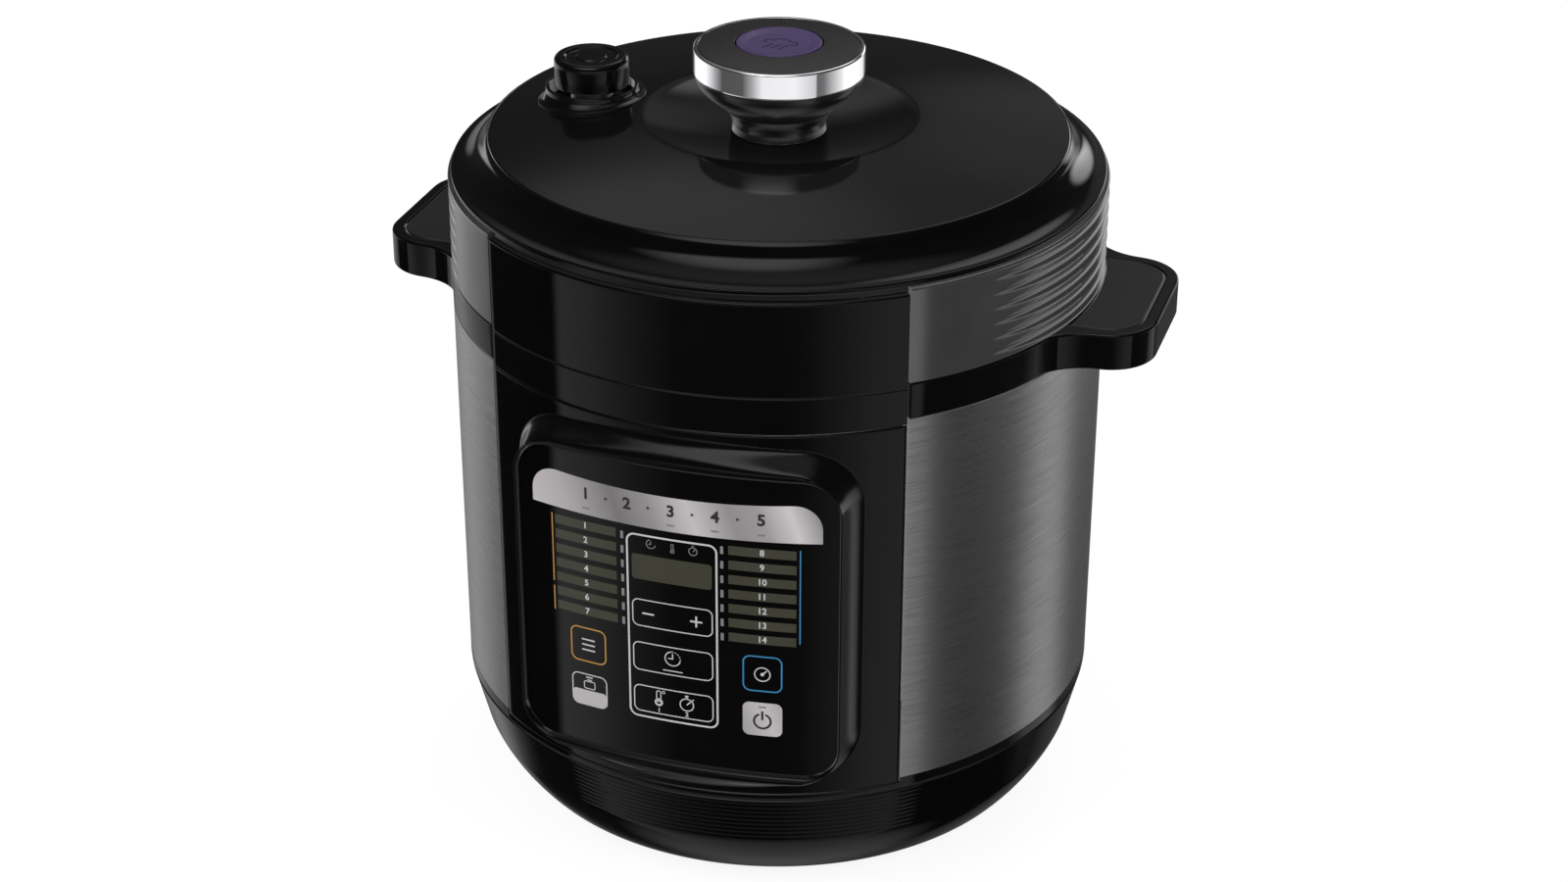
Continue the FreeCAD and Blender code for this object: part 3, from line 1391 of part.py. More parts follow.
def knob_pieces():
    """The flared grip, its bright ring and domed cap, and the dished button with its push rod."""
    grip = new_body("knob_grip")
    socket = d.shaft_radius + 0.05
    well = d.button_radius + d.fit_gap * 2
    z_well = z_knob_top - d.well_depth
    z_waist = z_knob + d.knob_height * 0.32
    z_shoulder = z_knob + d.knob_height * 0.6
    step = d.knob_height * 0.1
    turned(grip, [
        (socket, z_knob),
        (d.knob_neck, z_knob),
        (d.knob_neck, z_knob + step),
        (d.knob_neck + d.knob_edge, z_knob + step, -d.knob_neck),
        (d.knob_waist, z_waist),
        (d.knob_shoulder, z_shoulder, d.knob_radius * 0.75),
        (d.knob_radius - d.knob_edge, z_knob_top),
        (well, z_knob_top),
        (well, z_well),
        (d.shaft_bore, z_well),
        (d.shaft_bore, z_knob + d.socket_depth),
        (socket, z_knob + d.socket_depth),
    ])
    bright = new_body("knob_ring")
    ring_in = d.knob_radius - d.knob_ring_wall
    turned(bright, [
        (ring_in, z_knob_top),
        (d.knob_radius - d.knob_edge, z_knob_top),
        (d.knob_radius, z_knob_top + d.knob_edge),
        (d.knob_radius, z_ring_top - d.knob_ring_round, d.knob_ring_round),
        (d.knob_radius - d.knob_ring_round, z_ring_top),
        (ring_in, z_ring_top),
    ])
    disc = new_body("knob_cap")
    turned(disc, [
        (cap_hole, z_knob_top),
        (cap_outer, z_knob_top),
        (cap_outer, z_ring_top, d.knob_dome),
        (cap_hole, z_cap),
    ])
    button = new_body("release_button")
    under = z_button - d.button_wall
    skirt_in = d.button_radius - d.knob_ring_wall
    rim = d.button_radius - d.button_round
    dip = d.button_dish - leg(d.button_dish, rim)
    turned(button, [
        (0, under),
        (skirt_in, under),
        (skirt_in, z_button - d.button_skirt),
        (d.button_radius, z_button - d.button_skirt),
        (d.button_radius, z_button - d.button_round),
        (rim, z_button, -d.button_dish),
        (0, z_button - dip),
    ])
    push = rod("push_rod", d.rod_radius, under - z_rod, (0, 0, z_rod))
    nodes.append(push)


base_shell()
bottom_cover()
feet_and_screws()
housing_skins()
front_fascia()
panel_pieces()
handles()
pots_and_deck()
heating()
electronics()
condensation()
lid_shells()
inner_lid_pieces()
valve_pieces()
lever_pieces()
float_pieces()
lock_pieces()
knob_pieces()
doc.recompute()

faults = [o.Label for o in doc.Objects if "Invalid" in o.State or "Error" in o.State]
faults += [n.Label for n in nodes if n.Shape.isNull() or not n.Shape.isValid()]
if faults:
    raise RuntimeError("these did not build: " + ", ".join(sorted(set(faults))))

os.makedirs("parts", exist_ok=True)
for node in nodes:
    node.Shape.exportStep("parts/%s.step" % node.Label)
    print("%-20s solids %d volume %.0f" % (node.Label, len(node.Shape.Solids), node.Shape.Volume))
print(len(nodes), "sub-parts")
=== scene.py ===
import bmesh
import bpy
import json
import math
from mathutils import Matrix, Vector

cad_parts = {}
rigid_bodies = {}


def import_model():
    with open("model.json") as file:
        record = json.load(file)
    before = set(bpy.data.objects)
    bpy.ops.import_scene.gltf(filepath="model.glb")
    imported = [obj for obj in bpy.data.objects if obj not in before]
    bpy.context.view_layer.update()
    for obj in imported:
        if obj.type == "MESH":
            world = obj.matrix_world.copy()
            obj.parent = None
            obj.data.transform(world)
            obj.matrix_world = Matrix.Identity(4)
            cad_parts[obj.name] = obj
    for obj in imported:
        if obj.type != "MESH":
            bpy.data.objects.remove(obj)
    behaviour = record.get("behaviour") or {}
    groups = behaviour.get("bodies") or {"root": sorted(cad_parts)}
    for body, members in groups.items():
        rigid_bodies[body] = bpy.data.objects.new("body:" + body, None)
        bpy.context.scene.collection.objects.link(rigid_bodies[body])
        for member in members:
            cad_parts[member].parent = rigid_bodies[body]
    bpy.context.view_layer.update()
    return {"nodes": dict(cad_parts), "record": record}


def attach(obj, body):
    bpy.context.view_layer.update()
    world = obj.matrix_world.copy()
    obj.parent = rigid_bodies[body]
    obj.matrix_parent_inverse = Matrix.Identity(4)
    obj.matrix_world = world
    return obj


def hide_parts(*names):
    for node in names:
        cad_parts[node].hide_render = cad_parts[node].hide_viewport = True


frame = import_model()
scene = bpy.context.scene
nodes = frame["nodes"]
mm = 0.001
print("frame loaded with", len(nodes), "nodes")


# mesh helpers, all sizes in millimetres until the mesh is made

def settle(mesh, sharp=35.0):
    work = bmesh.new()
    work.from_mesh(mesh)
    bmesh.ops.remove_doubles(work, verts=work.verts, dist=2e-6)
    bmesh.ops.recalc_face_normals(work, faces=work.faces)
    for face in work.faces:
        face.smooth = True
    work.to_mesh(mesh)
    work.free()
    mesh.set_sharp_from_angle(angle=math.radians(sharp))


def linked(name, mesh):
    made = bpy.data.objects.new(name, mesh)
    scene.collection.objects.link(made)
    return made


def meshObject(name, verts, faces):
    mesh = bpy.data.meshes.new(name)
    mesh.from_pydata([(x * mm, y * mm, z * mm) for x, y, z in verts], [], faces)
    return linked(name, mesh)


def baked(made):
    # turns the live modifiers into a plain mesh
    bpy.context.view_layer.update()
    graph = bpy.context.evaluated_depsgraph_get()
    mesh = bpy.data.meshes.new_from_object(made.evaluated_get(graph))
    made.modifiers.clear()
    made.data = mesh
    return made


def plain(made, sharp=35.0):
    settle(baked(made).data, sharp)
    return made


def evened(made):
    # large faces lead the shading, so that rounded edges leave them flat
    made.modifiers.new("even", "WEIGHTED_NORMAL").keep_sharp = True
    return baked(made)


def bevelled(made, width, segments, angle):
    bevel = made.modifiers.new("edges", "BEVEL")
    bevel.width = width * mm
    bevel.segments = segments
    bevel.limit_method = "ANGLE"
    bevel.angle_limit = math.radians(angle)
    bevel.use_clamp_overlap = True


def fit(made, body, finish, slotName, *stands):
    made.data.materials.clear()
    made.data.materials.append(finish)
    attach(made, body)
    if stands:
        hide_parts(*stands)
    return made


def dress(made, sharp, *rest):
    settle(made.data, sharp)
    return fit(made, *rest)


def softLine(corners, steps=5, hold=0.3):
    # a third number at a corner rounds it; a point on each side keeps the straight runs straight in the shading
    line = []
    for i, corner in enumerate(corners):
        if len(corner) == 2:
            line.append(corner)
            continue
        here = Vector(corner[:2])
        back = Vector(corners[i - 1][:2]) - here
        ahead = Vector(corners[(i + 1) % len(corners)][:2]) - here
        spareBack, spareAhead = back.length, ahead.length
        back.normalize()
        ahead.normalize()
        half = back.angle(ahead) / 2
        run = corner[2] / math.tan(half)
        middle = here + (back + ahead).normalized() * corner[2] / math.sin(half)
        first = here + back * run - middle
        last = here + ahead * run - middle
        spread = first.angle(last)
        if spareBack > run + 4 * hold:
            line.append(tuple(here + back * (run + hold)))
        for k in range(steps + 1):
            near = math.sin((1 - k / steps) * spread)
            far = math.sin(k / steps * spread)
            line.append(tuple(middle + (first * near + last * far) / math.sin(spread)))
        if spareAhead > run + 4 * hold:
            line.append(tuple(here + ahead * (run + hold)))
    return line


def arcLine(x, z, radius, start, end, steps):
    turn = [math.radians(start + (end - start) * k / steps) for k in range(steps + 1)]
    return [(x + radius * math.cos(a), z + radius * math.sin(a)) for a in turn]


def quads(turns, count, closed=True):
    # faces between closed outlines of so many points, one outline per turn
    faces = []
    for i in range(turns if closed else turns - 1):
        j = (i + 1) % turns
        for k in range(count):
            m = (k + 1) % count
            faces.append((i * count + k, j * count + k, j * count + m, i * count + m))
    return faces


def capped(turns, count):
    # the same, open round the turn and closed at both ends
    ends = [tuple(range(count)), tuple(range((turns - 1) * count, turns * count))]
    return quads(turns, count, False) + ends


def spun(name, line, segments=240, start=0.0, sweep=360.0, x=0.0):
    # a closed outline turned about the upright axis, angle 0 at the front
    turns = segments if sweep >= 360 else segments + 1
    verts = []
    for i in range(turns):
        a = math.radians(start + sweep * i / segments)
        verts += [(x + r * math.sin(a), -r * math.cos(a), z) for r, z in line]
    return meshObject(name, verts, (quads if sweep >= 360 else capped)(turns, len(line)))


def softened(node, width):
    # a smooth copy of a CAD node with its edges broken
    made = linked(node + "_soft", nodes[node].data.copy())
    work = bmesh.new()
    work.from_mesh(made.data)
    bmesh.ops.remove_doubles(work, verts=work.verts, dist=1e-5)
    bmesh.ops.dissolve_limit(work, angle_limit=math.radians(0.3), verts=work.verts, edges=work.edges)
    work.to_mesh(made.data)
    work.free()
    if width:
        bevelled(made, width, 3, 25)
    return evened(plain(made))


# shader groups shared by the finishes

def newGroup(name, kind, inputs, outputs):
    tree = bpy.data.node_groups.new(name, kind)
    for label, socketType, value in inputs:
        socket = tree.interface.new_socket(name=label, in_out="INPUT", socket_type=socketType)
        if value is not None:
            socket.default_value = value
    for label, socketType in outputs:
        tree.interface.new_socket(name=label, in_out="OUTPUT", socket_type=socketType)
    return tree, tree.nodes.new("NodeGroupInput"), tree.nodes.new("NodeGroupOutput")


def addNode(tree, kind, feeds=(), **settings):
    # a feed names an input and gives a socket to link or a value to set
    made = tree.nodes.new(kind)
    for key, value in settings.items():
        setattr(made, key, value)
    for key, value in dict(feeds).items():
        if isinstance(value, bpy.types.NodeSocket):
            tree.links.new(value, made.inputs[key])
        else:
            made.inputs[key].default_value = value
    return made


def mathStep(tree, operation, *values):
    return addNode(tree, "ShaderNodeMath", enumerate(values), operation=operation).outputs[0]


def split(tree, socket):
    return addNode(tree, "ShaderNodeSeparateXYZ", {0: socket}).outputs


def objectPlace(tree):
    return addNode(tree, "ShaderNodeTexCoord").outputs["Object"]


def rampStops(tree, share, stops):
    # pairs of a place from 0 to 1 and a colour
    ramp = addNode(tree, "ShaderNodeValToRGB", {"Fac": share})
    elements = ramp.color_ramp.elements
    for i, (at, colour) in enumerate(stops):
        stop = elements[i] if i < 2 else elements.new(at)
        stop.position = at
        stop.color = (*colour, 1)
    return ramp.outputs["Color"]


grainInputs = [
    ("Scale", "NodeSocketFloat", 40.0), ("Stretch", "NodeSocketVector", (1.0, 1.0, 1.0)),
    ("Colour A", "NodeSocketColor", (0.1, 0.1, 0.1, 1)), ("Colour B", "NodeSocketColor", (0.1, 0.1, 0.1, 1)),
    ("Rough Low", "NodeSocketFloat", 0.2), ("Rough High", "NodeSocketFloat", 0.3),
]
grainOutputs = [("Colour", "NodeSocketColor"), ("Roughness", "NodeSocketFloat"), ("Height", "NodeSocketFloat")]


def buildGrain():
    tree, source, sink = newGroup("surfaceGrain", "ShaderNodeTree", grainInputs, grainOutputs)
    given = source.outputs
    feeds = {0: objectPlace(tree), 1: given["Stretch"]}
    where = addNode(tree, "ShaderNodeVectorMath", feeds, operation="MULTIPLY").outputs[0]
    fineScale = mathStep(tree, "MULTIPLY", given["Scale"], 14.0)
    broad = addNode(tree, "ShaderNodeTexNoise", {"Vector": where, "Scale": given["Scale"], "Detail": 3.0})
    fine = addNode(tree, "ShaderNodeTexNoise", {"Vector": where, "Scale": fineScale, "Detail": 2.0})
    usual = {"From Min": 0.3, "From Max": 0.7}
    level = addNode(tree, "ShaderNodeMapRange", {"Value": broad.outputs["Fac"], **usual})
    blend = addNode(tree, "ShaderNodeMix", {0: level.outputs["Result"], 6: given["Colour A"], 7: given["Colour B"]},
                    data_type="RGBA")
    rough = addNode(tree, "ShaderNodeMapRange", {"Value": fine.outputs["Fac"], **usual, "To Min": given["Rough Low"],
                                                 "To Max": given["Rough High"]})
    tree.links.new(blend.outputs[2], sink.inputs["Colour"])
    tree.links.new(rough.outputs["Result"], sink.inputs["Roughness"])
    tree.links.new(fine.outputs["Fac"], sink.inputs["Height"])
    return tree


surfaceGrain = buildGrain()


def makeFinish(name, colourA, colourB, scale, rough, bump=0.0, metal=0.0, specular=0.5, stretch=(1, 1, 1)):
    finish = bpy.data.materials.new(name)
    finish.use_nodes = True
    tree = finish.node_tree
    taken = tree.nodes["Principled BSDF"].inputs
    feeds = {"Scale": scale, "Stretch": stretch, "Colour A": (*colourA, 1), "Colour B": (*colourB, 1),
             "Rough Low": rough[0], "Rough High": rough[1]}
    grain = addNode(tree, "ShaderNodeGroup", feeds, node_tree=surfaceGrain).outputs
    tree.links.new(grain["Colour"], taken["Base Color"])
    tree.links.new(grain["Roughness"], taken["Roughness"])
    taken["Metallic"].default_value = metal
    taken["Specular IOR Level"].default_value = specular
    if bump:
        lift = addNode(tree, "ShaderNodeBump", {"Strength": bump, "Distance": 0.0002, "Height": grain["Height"]})
        tree.links.new(lift.outputs["Normal"], taken["Normal"])
    return finish


def grey(value):
    return (value, value, value * 1.03)


finishes = {
    "gloss_black": makeFinish("glossBlack", grey(0.0018), grey(0.0024), 30, (0.045, 0.06), 0.006, specular=0.18),
    "satin_black": makeFinish("satinBlack", grey(0.007), grey(0.010), 60, (0.28, 0.34), 0.05, specular=0.3),
    "lid_black": makeFinish("lidBlack", grey(0.0035), grey(0.0045), 40, (0.07, 0.09), 0.012, specular=0.22),
    "panel_black": makeFinish("panelFilm", grey(0.0018), grey(0.0024), 20, (0.04, 0.05), specular=0.18),
    "collar_grey": makeFinish("collarGrey", grey(0.10), grey(0.115), 50, (0.13, 0.16), 0.01, metal=0.65),
    "dark_steel": makeFinish("brushedSteel", grey(0.22), grey(0.36), 3.0, (0.25, 0.31), metal=1.0,
                             stretch=(16.0, 16.0, 800.0)),
    "bright_chrome": makeFinish("brightChrome", grey(0.88), grey(0.92), 30, (0.02, 0.03), metal=1.0),
    "black_chrome": makeFinish("blackChrome", grey(0.009), grey(0.011), 30, (0.19, 0.22), specular=0.45),
    "button_plum": makeFinish("plumButton", (0.060, 0.041, 0.112), (0.068, 0.046, 0.125), 60, (0.36, 0.42), 0.04,
                              specular=0.25),
    "plain_steel": makeFinish("plainSteel", grey(0.50), grey(0.60), 6, (0.22, 0.32), 0.05, metal=1.0,
                              stretch=(1, 1, 30)),
    "cast_aluminium": makeFinish("castAluminium", grey(0.5), grey(0.6), 70, (0.35, 0.5), 0.2, metal=1.0),
    "pot_grey": makeFinish("potCoat", grey(0.05), grey(0.07), 90, (0.3, 0.42), 0.15, metal=0.2),
    "black_rubber": makeFinish("blackRubber", grey(0.012), grey(0.018), 80, (0.6, 0.75), 0.2),
    "pale_rubber": makeFinish("paleRubber", (0.60, 0.57, 0.52), (0.66, 0.63, 0.58), 50, (0.5, 0.6), 0.1),
    "board_green": makeFinish("boardGreen", (0.015, 0.10, 0.04), (0.02, 0.14, 0.06), 120, (0.3, 0.45), 0.1),
    "component_grey": makeFinish("componentGrey", grey(0.05), grey(0.07), 90, (0.4, 0.55), 0.1),
    "pin_brass": makeFinish("pinBrass", (0.66, 0.48, 0.20), (0.72, 0.55, 0.26), 60, (0.18, 0.28), metal=1.0),
    "cup_grey": makeFinish("cupSmoke", grey(0.02), grey(0.03), 50, (0.12, 0.2), 0.03, specular=0.4),
}


def tipped(finish, axis, slope, power):
    # tips the shading along one axis, as a slight bow of the wall would
    tree = finish.node_tree
    away = mathStep(tree, "ABSOLUTE", split(tree, objectPlace(tree))[axis])
    height = mathStep(tree, "MULTIPLY", mathStep(tree, "POWER", away, power), -slope)
    tip = addNode(tree, "ShaderNodeBump", {"Distance": 1.0, "Height": height})
    tree.links.new(tip.outputs["Normal"], tree.nodes["Principled BSDF"].inputs["Normal"])


tipped(finishes["panel_black"], "X", 1.8, 2.0)
capGrey = makeFinish("capGrey", grey(0.018), grey(0.020), 60, (0.27, 0.30), 0.006, specular=0.3)


def mirrorRay(tree):
    return addNode(tree, "ShaderNodeLightPath").outputs["Is Glossy Ray"]


def unmirrored(finish):
    # rays that come down from the bright ring pass through, as in the photograph; the lid still mirrors the piece
    tree = finish.node_tree
    coming = addNode(tree, "ShaderNodeNewGeometry").outputs["Incoming"]
    down = mathStep(tree, "GREATER_THAN", split(tree, coming)["Z"], 0.0)
    falling = mathStep(tree, "MULTIPLY", mirrorRay(tree), down)
    tree.links.new(mathStep(tree, "SUBTRACT", 1.0, falling), tree.nodes["Principled BSDF"].inputs["Alpha"])
    return finish


def dulled(finish):
    # the piece's own image in the lid shows no bright rims
    tree = finish.node_tree
    rough = tree.nodes["Principled BSDF"].inputs["Roughness"]
    soft = mathStep(tree, "MULTIPLY", mirrorRay(tree), 0.8)
    tree.links.new(mathStep(tree, "MAXIMUM", rough.links[0].from_socket, soft), rough)


dulled(finishes["black_chrome"])
valveBlack = unmirrored(makeFinish("valveBlack", grey(0.0024), grey(0.0030), 30, (0.10, 0.12), specular=0.22))
for part in frame["record"]["subparts"]:
    skin = nodes[part["node"]].data
    skin.materials.clear()
    skin.materials.append(finishes[part["material_slot"]])
print("finishes:", len(finishes))


# camera at the photograph's place, image taken as 1600 by 900
view = {"azimuth": 17.6, "distance": 1.2754, "height": 0.8155, "pitch": -27.25, "pan": -0.03, "roll": -0.172,
        "focal": 3129.4}
lens = bpy.data.cameras.new("photoCamera")
lens.sensor_fit = "HORIZONTAL"
lens.sensor_width = 36.0
lens.lens = view["focal"] / 1600 * 36.0
lens.clip_start = 0.05
lens.clip_end = 60.0
camera = linked("photoCamera", lens)
turn = math.radians(view["azimuth"])
camera.location = (view["distance"] * math.sin(turn), -view["distance"] * math.cos(turn), view["height"])
camera.rotation_mode = "XYZ"
camera.rotation_euler = (math.radians(90 + view["pitch"]), math.radians(view["roll"]), turn + math.radians(view["pan"]))
scene.camera = camera
print("camera set")


# lid: domed plate with its dish, and the coved ring round it
lid = {"domeTop": 324.39, "dome": 1000.0, "dish": 215.0, "dishCentre": 528.82, "hub": 10.3, "dishEdge": 56.0,
       "domeEdge": 63.0, "edge": 129.3, "edgeRound": 1.1, "seat": 313.1, "wall": 2.5, "plateTop": 316.0,
       "rim": 146.0, "rimFoot": 299.6, "rimTop": 302.0, "rimRound": 0.8, "cove": 15.5, "wallTop": 313.6}


def domeHeight(r):
    return lid["domeTop"] - lid["dome"] + math.sqrt(lid["dome"] ** 2 - r * r)


def dishHeight(r):
    return lid["dishCentre"] - math.sqrt(lid["dish"] ** 2 - r * r)


def lidPlate():
    inner, outer = lid["dishEdge"], lid["domeEdge"]
    line = [(r, dishHeight(r)) for r in (lid["hub"] + (inner - lid["hub"]) * k / 14 for k in range(15))]
    span = outer - inner
    slopeIn = inner / math.sqrt(lid["dish"] ** 2 - inner ** 2)
    slopeOut = -outer / math.sqrt(lid["dome"] ** 2 - outer ** 2)
    for k in range(1, 12):
        t = k / 12
        crest = dishHeight(inner) * (2 * t ** 3 - 3 * t * t + 1) + domeHeight(outer) * (3 * t * t - 2 * t ** 3)
        crest += slopeIn * span * (t ** 3 - 2 * t * t + t) + slopeOut * span * (t ** 3 - t * t)
        line.append((inner + span * t, crest))
    last = lid["edge"] - lid["edgeRound"]
    line += [(outer + (last - outer) * k / 16, domeHeight(outer + (last - outer) * k / 16)) for k in range(17)]
    line += arcLine(last, domeHeight(last) - lid["edgeRound"], lid["edgeRound"], 80, 0, 6)
    line.append((lid["edge"], lid["seat"]))
    line.append((lid["edge"] - lid["wall"], lid["seat"]))
    line += [(r, domeHeight(r) - lid["wall"]) for r in (126.0, 110.0, 90.0, 72.0, 62.0)]
    line += [(r, dishHeight(r) - lid["wall"]) for r in (55.0, 40.0, 25.0, lid["hub"])]
    made = spun("lid_plate_skin", line, 288)
    return dress(made, 40, "lid", finishes["lid_black"], "lid_black", "lid_plate")


def lidRing():
    centre = lid["rimTop"] + lid["cove"]
    line = [(lid["rim"] - 3.6, lid["rimFoot"]), (lid["rim"] - 0.4, lid["rimFoot"])]
    line += [(lid["rim"], lid["rimFoot"] + 0.4), (lid["rim"], lid["rimTop"] - lid["rimRound"])]
    line += arcLine(lid["rim"] - lid["rimRound"], lid["rimTop"] - lid["rimRound"], lid["rimRound"], 15, 90, 5)
    line += arcLine(lid["rim"], centre, lid["cove"], -95, -164, 30)
    line += [(130.3, 314.9), (129.75, 315.7), (129.6, 315.6), (129.6, lid["seat"] + 0.05), (124.7, lid["seat"] + 0.05)]
    line += [(124.7, 310.6), (127.0, 310.6), (133.0, 305.2), (138.0, 301.6), (142.4, 300.6)]
    made = spun("lid_ring_skin", line, 288)
    return dress(made, 50, "lid", finishes["gloss_black"], "gloss_black", "lid_ring")


lidPlate()
lidRing()
print("lid made")


# knob: flared grip, bright ring, domed cap and the dished release button
knob = {"foot": 315.23, "top": 342.33, "ringTop": 353.93, "neck": 20.8, "radius": 37.9, "ringIn": 35.9,
        "ringRound": 0.9,
        "capOut": 35.6, "capHole": 19.6, "dome": 260.0, "button": 19.0, "buttonTop": 355.81, "dip": 1.05,
        "dishOut": 18.1,
        "dishIn": 13.5}


def knobGrip():
    foot, top = knob["foot"], knob["top"]
    neck = knob["neck"]
    line = [(10.2, foot), (neck - 0.4, foot), (neck + 0.3, foot + 0.4), (neck + 0.15, foot + 1.4), (neck, foot + 2.6)]
    flare = [(20.8, 4.0), (21.2, 5.8), (21.9, 7.6), (22.8, 9.2), (23.8, 10.5), (24.3, 11.0), (24.2, 11.4), (24.7, 11.8),
             (25.9, 12.8), (27.8, 14.2), (30.2, 16.0), (32.6, 18.0), (34.7, 20.0), (36.1, 21.8), (37.0, 23.6),
             (37.4, 25.4),
             (37.4, 27.1)]
    line += [(r, foot + z) for r, z in flare]
    line += [(19.7, top), (19.7, 330.53), (3.4, 330.53), (3.4, 324.03), (10.2, 324.03)]
    made = spun("knob_grip_skin", line, 192)
    return dress(made, 30, "knob", finishes["black_chrome"], "black_chrome", "knob_grip")


def capHeight(r):
    return knob["ringTop"] + math.sqrt(knob["dome"] ** 2 - r * r) - math.sqrt(knob["dome"] ** 2 - knob["capOut"] ** 2)


def knobTrim():
    low, high, out = knob["top"], knob["ringTop"], knob["radius"]
    ring = softLine([(knob["ringIn"], low), (out, low, 0.4), (out, high, knob["ringRound"]),
                     (knob["ringIn"], high, 0.15)])
    bright = spun("knob_ring_skin", ring, 192)
    dress(bright, 40, "knob", finishes["bright_chrome"], "bright_chrome", "knob_ring")
    edge, hole = knob["capOut"], knob["capHole"]
    disc = [(hole, low), (edge, low), (edge, capHeight(edge), 0.35)]
    disc += [(r, capHeight(r)) for r in (34.5, 33.0, 31.0, 29.0, 27.0, 25.0, 23.0, 21.0)]
    disc.append((hole, capHeight(hole), 0.35))
    cap = spun("knob_cap_skin", softLine(disc), 192)
    dress(cap, 40, "knob", capGrey, "satin_black", "knob_cap")


def dishLevel(r):
    share = min(max((knob["dishOut"] - r) / (knob["dishOut"] - knob["dishIn"]), 0.0), 1.0)
    return knob["buttonTop"] - knob["dip"] * share * share * (3 - 2 * share)


def releaseButton():
    top, out = knob["buttonTop"], knob["button"]
    line = [(0, top - 3.0), (17.0, top - 3.0), (17.0, top - 15.0), (out, top - 15.0)]
    line += arcLine(out - 0.8, top - 0.8, 0.8, 0, 90, 6)
    line += [(r, dishLevel(r)) for r in (17.6, 17.1, 16.6, 16.0, 15.4, 14.8, 14.2, 13.8, 13.4, 9.0, 4.5, 0.0)]
    made = spun("release_button_skin", line, 144)
    return dress(made, 40, "button", finishes["button_plum"], "button_plum", "release_button")


knobGrip()
knobTrim()
releaseButton()
print("knob made")


# steam valve: cap with its ring groove, and the collar it stands in
valve = {"x": -88.5, "foot": 326.07, "top": 339.57, "radius": 16.8, "round": 2.2, "bore": 19.3, "lip": 1.4,
         "skirt": 24.5, "lipTop": 325.87}


def valveCap():
    top, out = valve["top"], valve["radius"]
    corners = [(0, valve["foot"]), (out - 0.6, valve["foot"]), (out, valve["foot"] + 0.8), (out, top, valve["round"]),
               (12.4, top, 0.6), (11.2, top - 1.1, 0.5), (7.1, top - 1.1, 0.5), (6.4, top - 0.25, 0.5), (0, top - 0.25)]
    made = spun("valve_cap_skin", softLine(corners), 144, x=valve["x"])
    return dress(made, 40, "valve", valveBlack, "gloss_black", "valve_cap")


def valveCollar():
    # the foot follows the dome
    verts, faces = [], []
    segments = 144
    rise = valve["lipTop"]
    for i in range(segments):
        a = math.tau * i / segments
        footRadius = math.hypot(valve["x"] + valve["skirt"] * math.cos(a), valve["skirt"] * math.sin(a))
        foot = domeHeight(footRadius)
        inRadius = math.hypot(valve["x"] + valve["bore"] * math.cos(a), valve["bore"] * math.sin(a))
        low = domeHeight(inRadius) - 0.6
        line = softLine([(valve["bore"], low), (valve["skirt"], foot - 0.6), (valve["skirt"], foot + 0.25, 0.2),
                         (22.6, foot + 0.9, 1.4), (21.0, rise - 2.6, 0.8), (20.9, rise, 0.6),
                         (valve["bore"], rise, 0.5)])
        count = len(line)
        verts += [(valve["x"] + r * math.cos(a), r * math.sin(a), z) for r, z in line]
        j = (i + 1) % segments
        for k in range(count):
            m = (k + 1) % count
            faces.append((i * count + k, j * count + k, j * count + m, i * count + m))
    made = meshObject("valve_collar_skin", verts, faces)
    return dress(made, 40, "lid", valveBlack, "gloss_black", "valve_collar")


valveCap()
valveCollar()
print("valve made")


# collar: leaf-shaped scallops cut by a rule, deepest at the handles
collar = {"radius": 147.5, "wall": 3.7, "low": 256.1, "high": 299.0, "round": 1.0, "depth": 1.3, "reach": 7.2,
          "margin": 1.0, "count": 6, "seam": 39.22}


def paintOut(tree, shaped, finish, sink):
    paint = addNode(tree, "GeometryNodeSetMaterial", {"Geometry": shaped.outputs[0], "Material": finish})
    tree.links.new(paint.outputs[0], sink.inputs[0])


def spotSplit(tree):
    return split(tree, addNode(tree, "GeometryNodeInputPosition").outputs[0])


def stepper(tree):
    return lambda operation, *values: mathStep(tree, operation, *values)


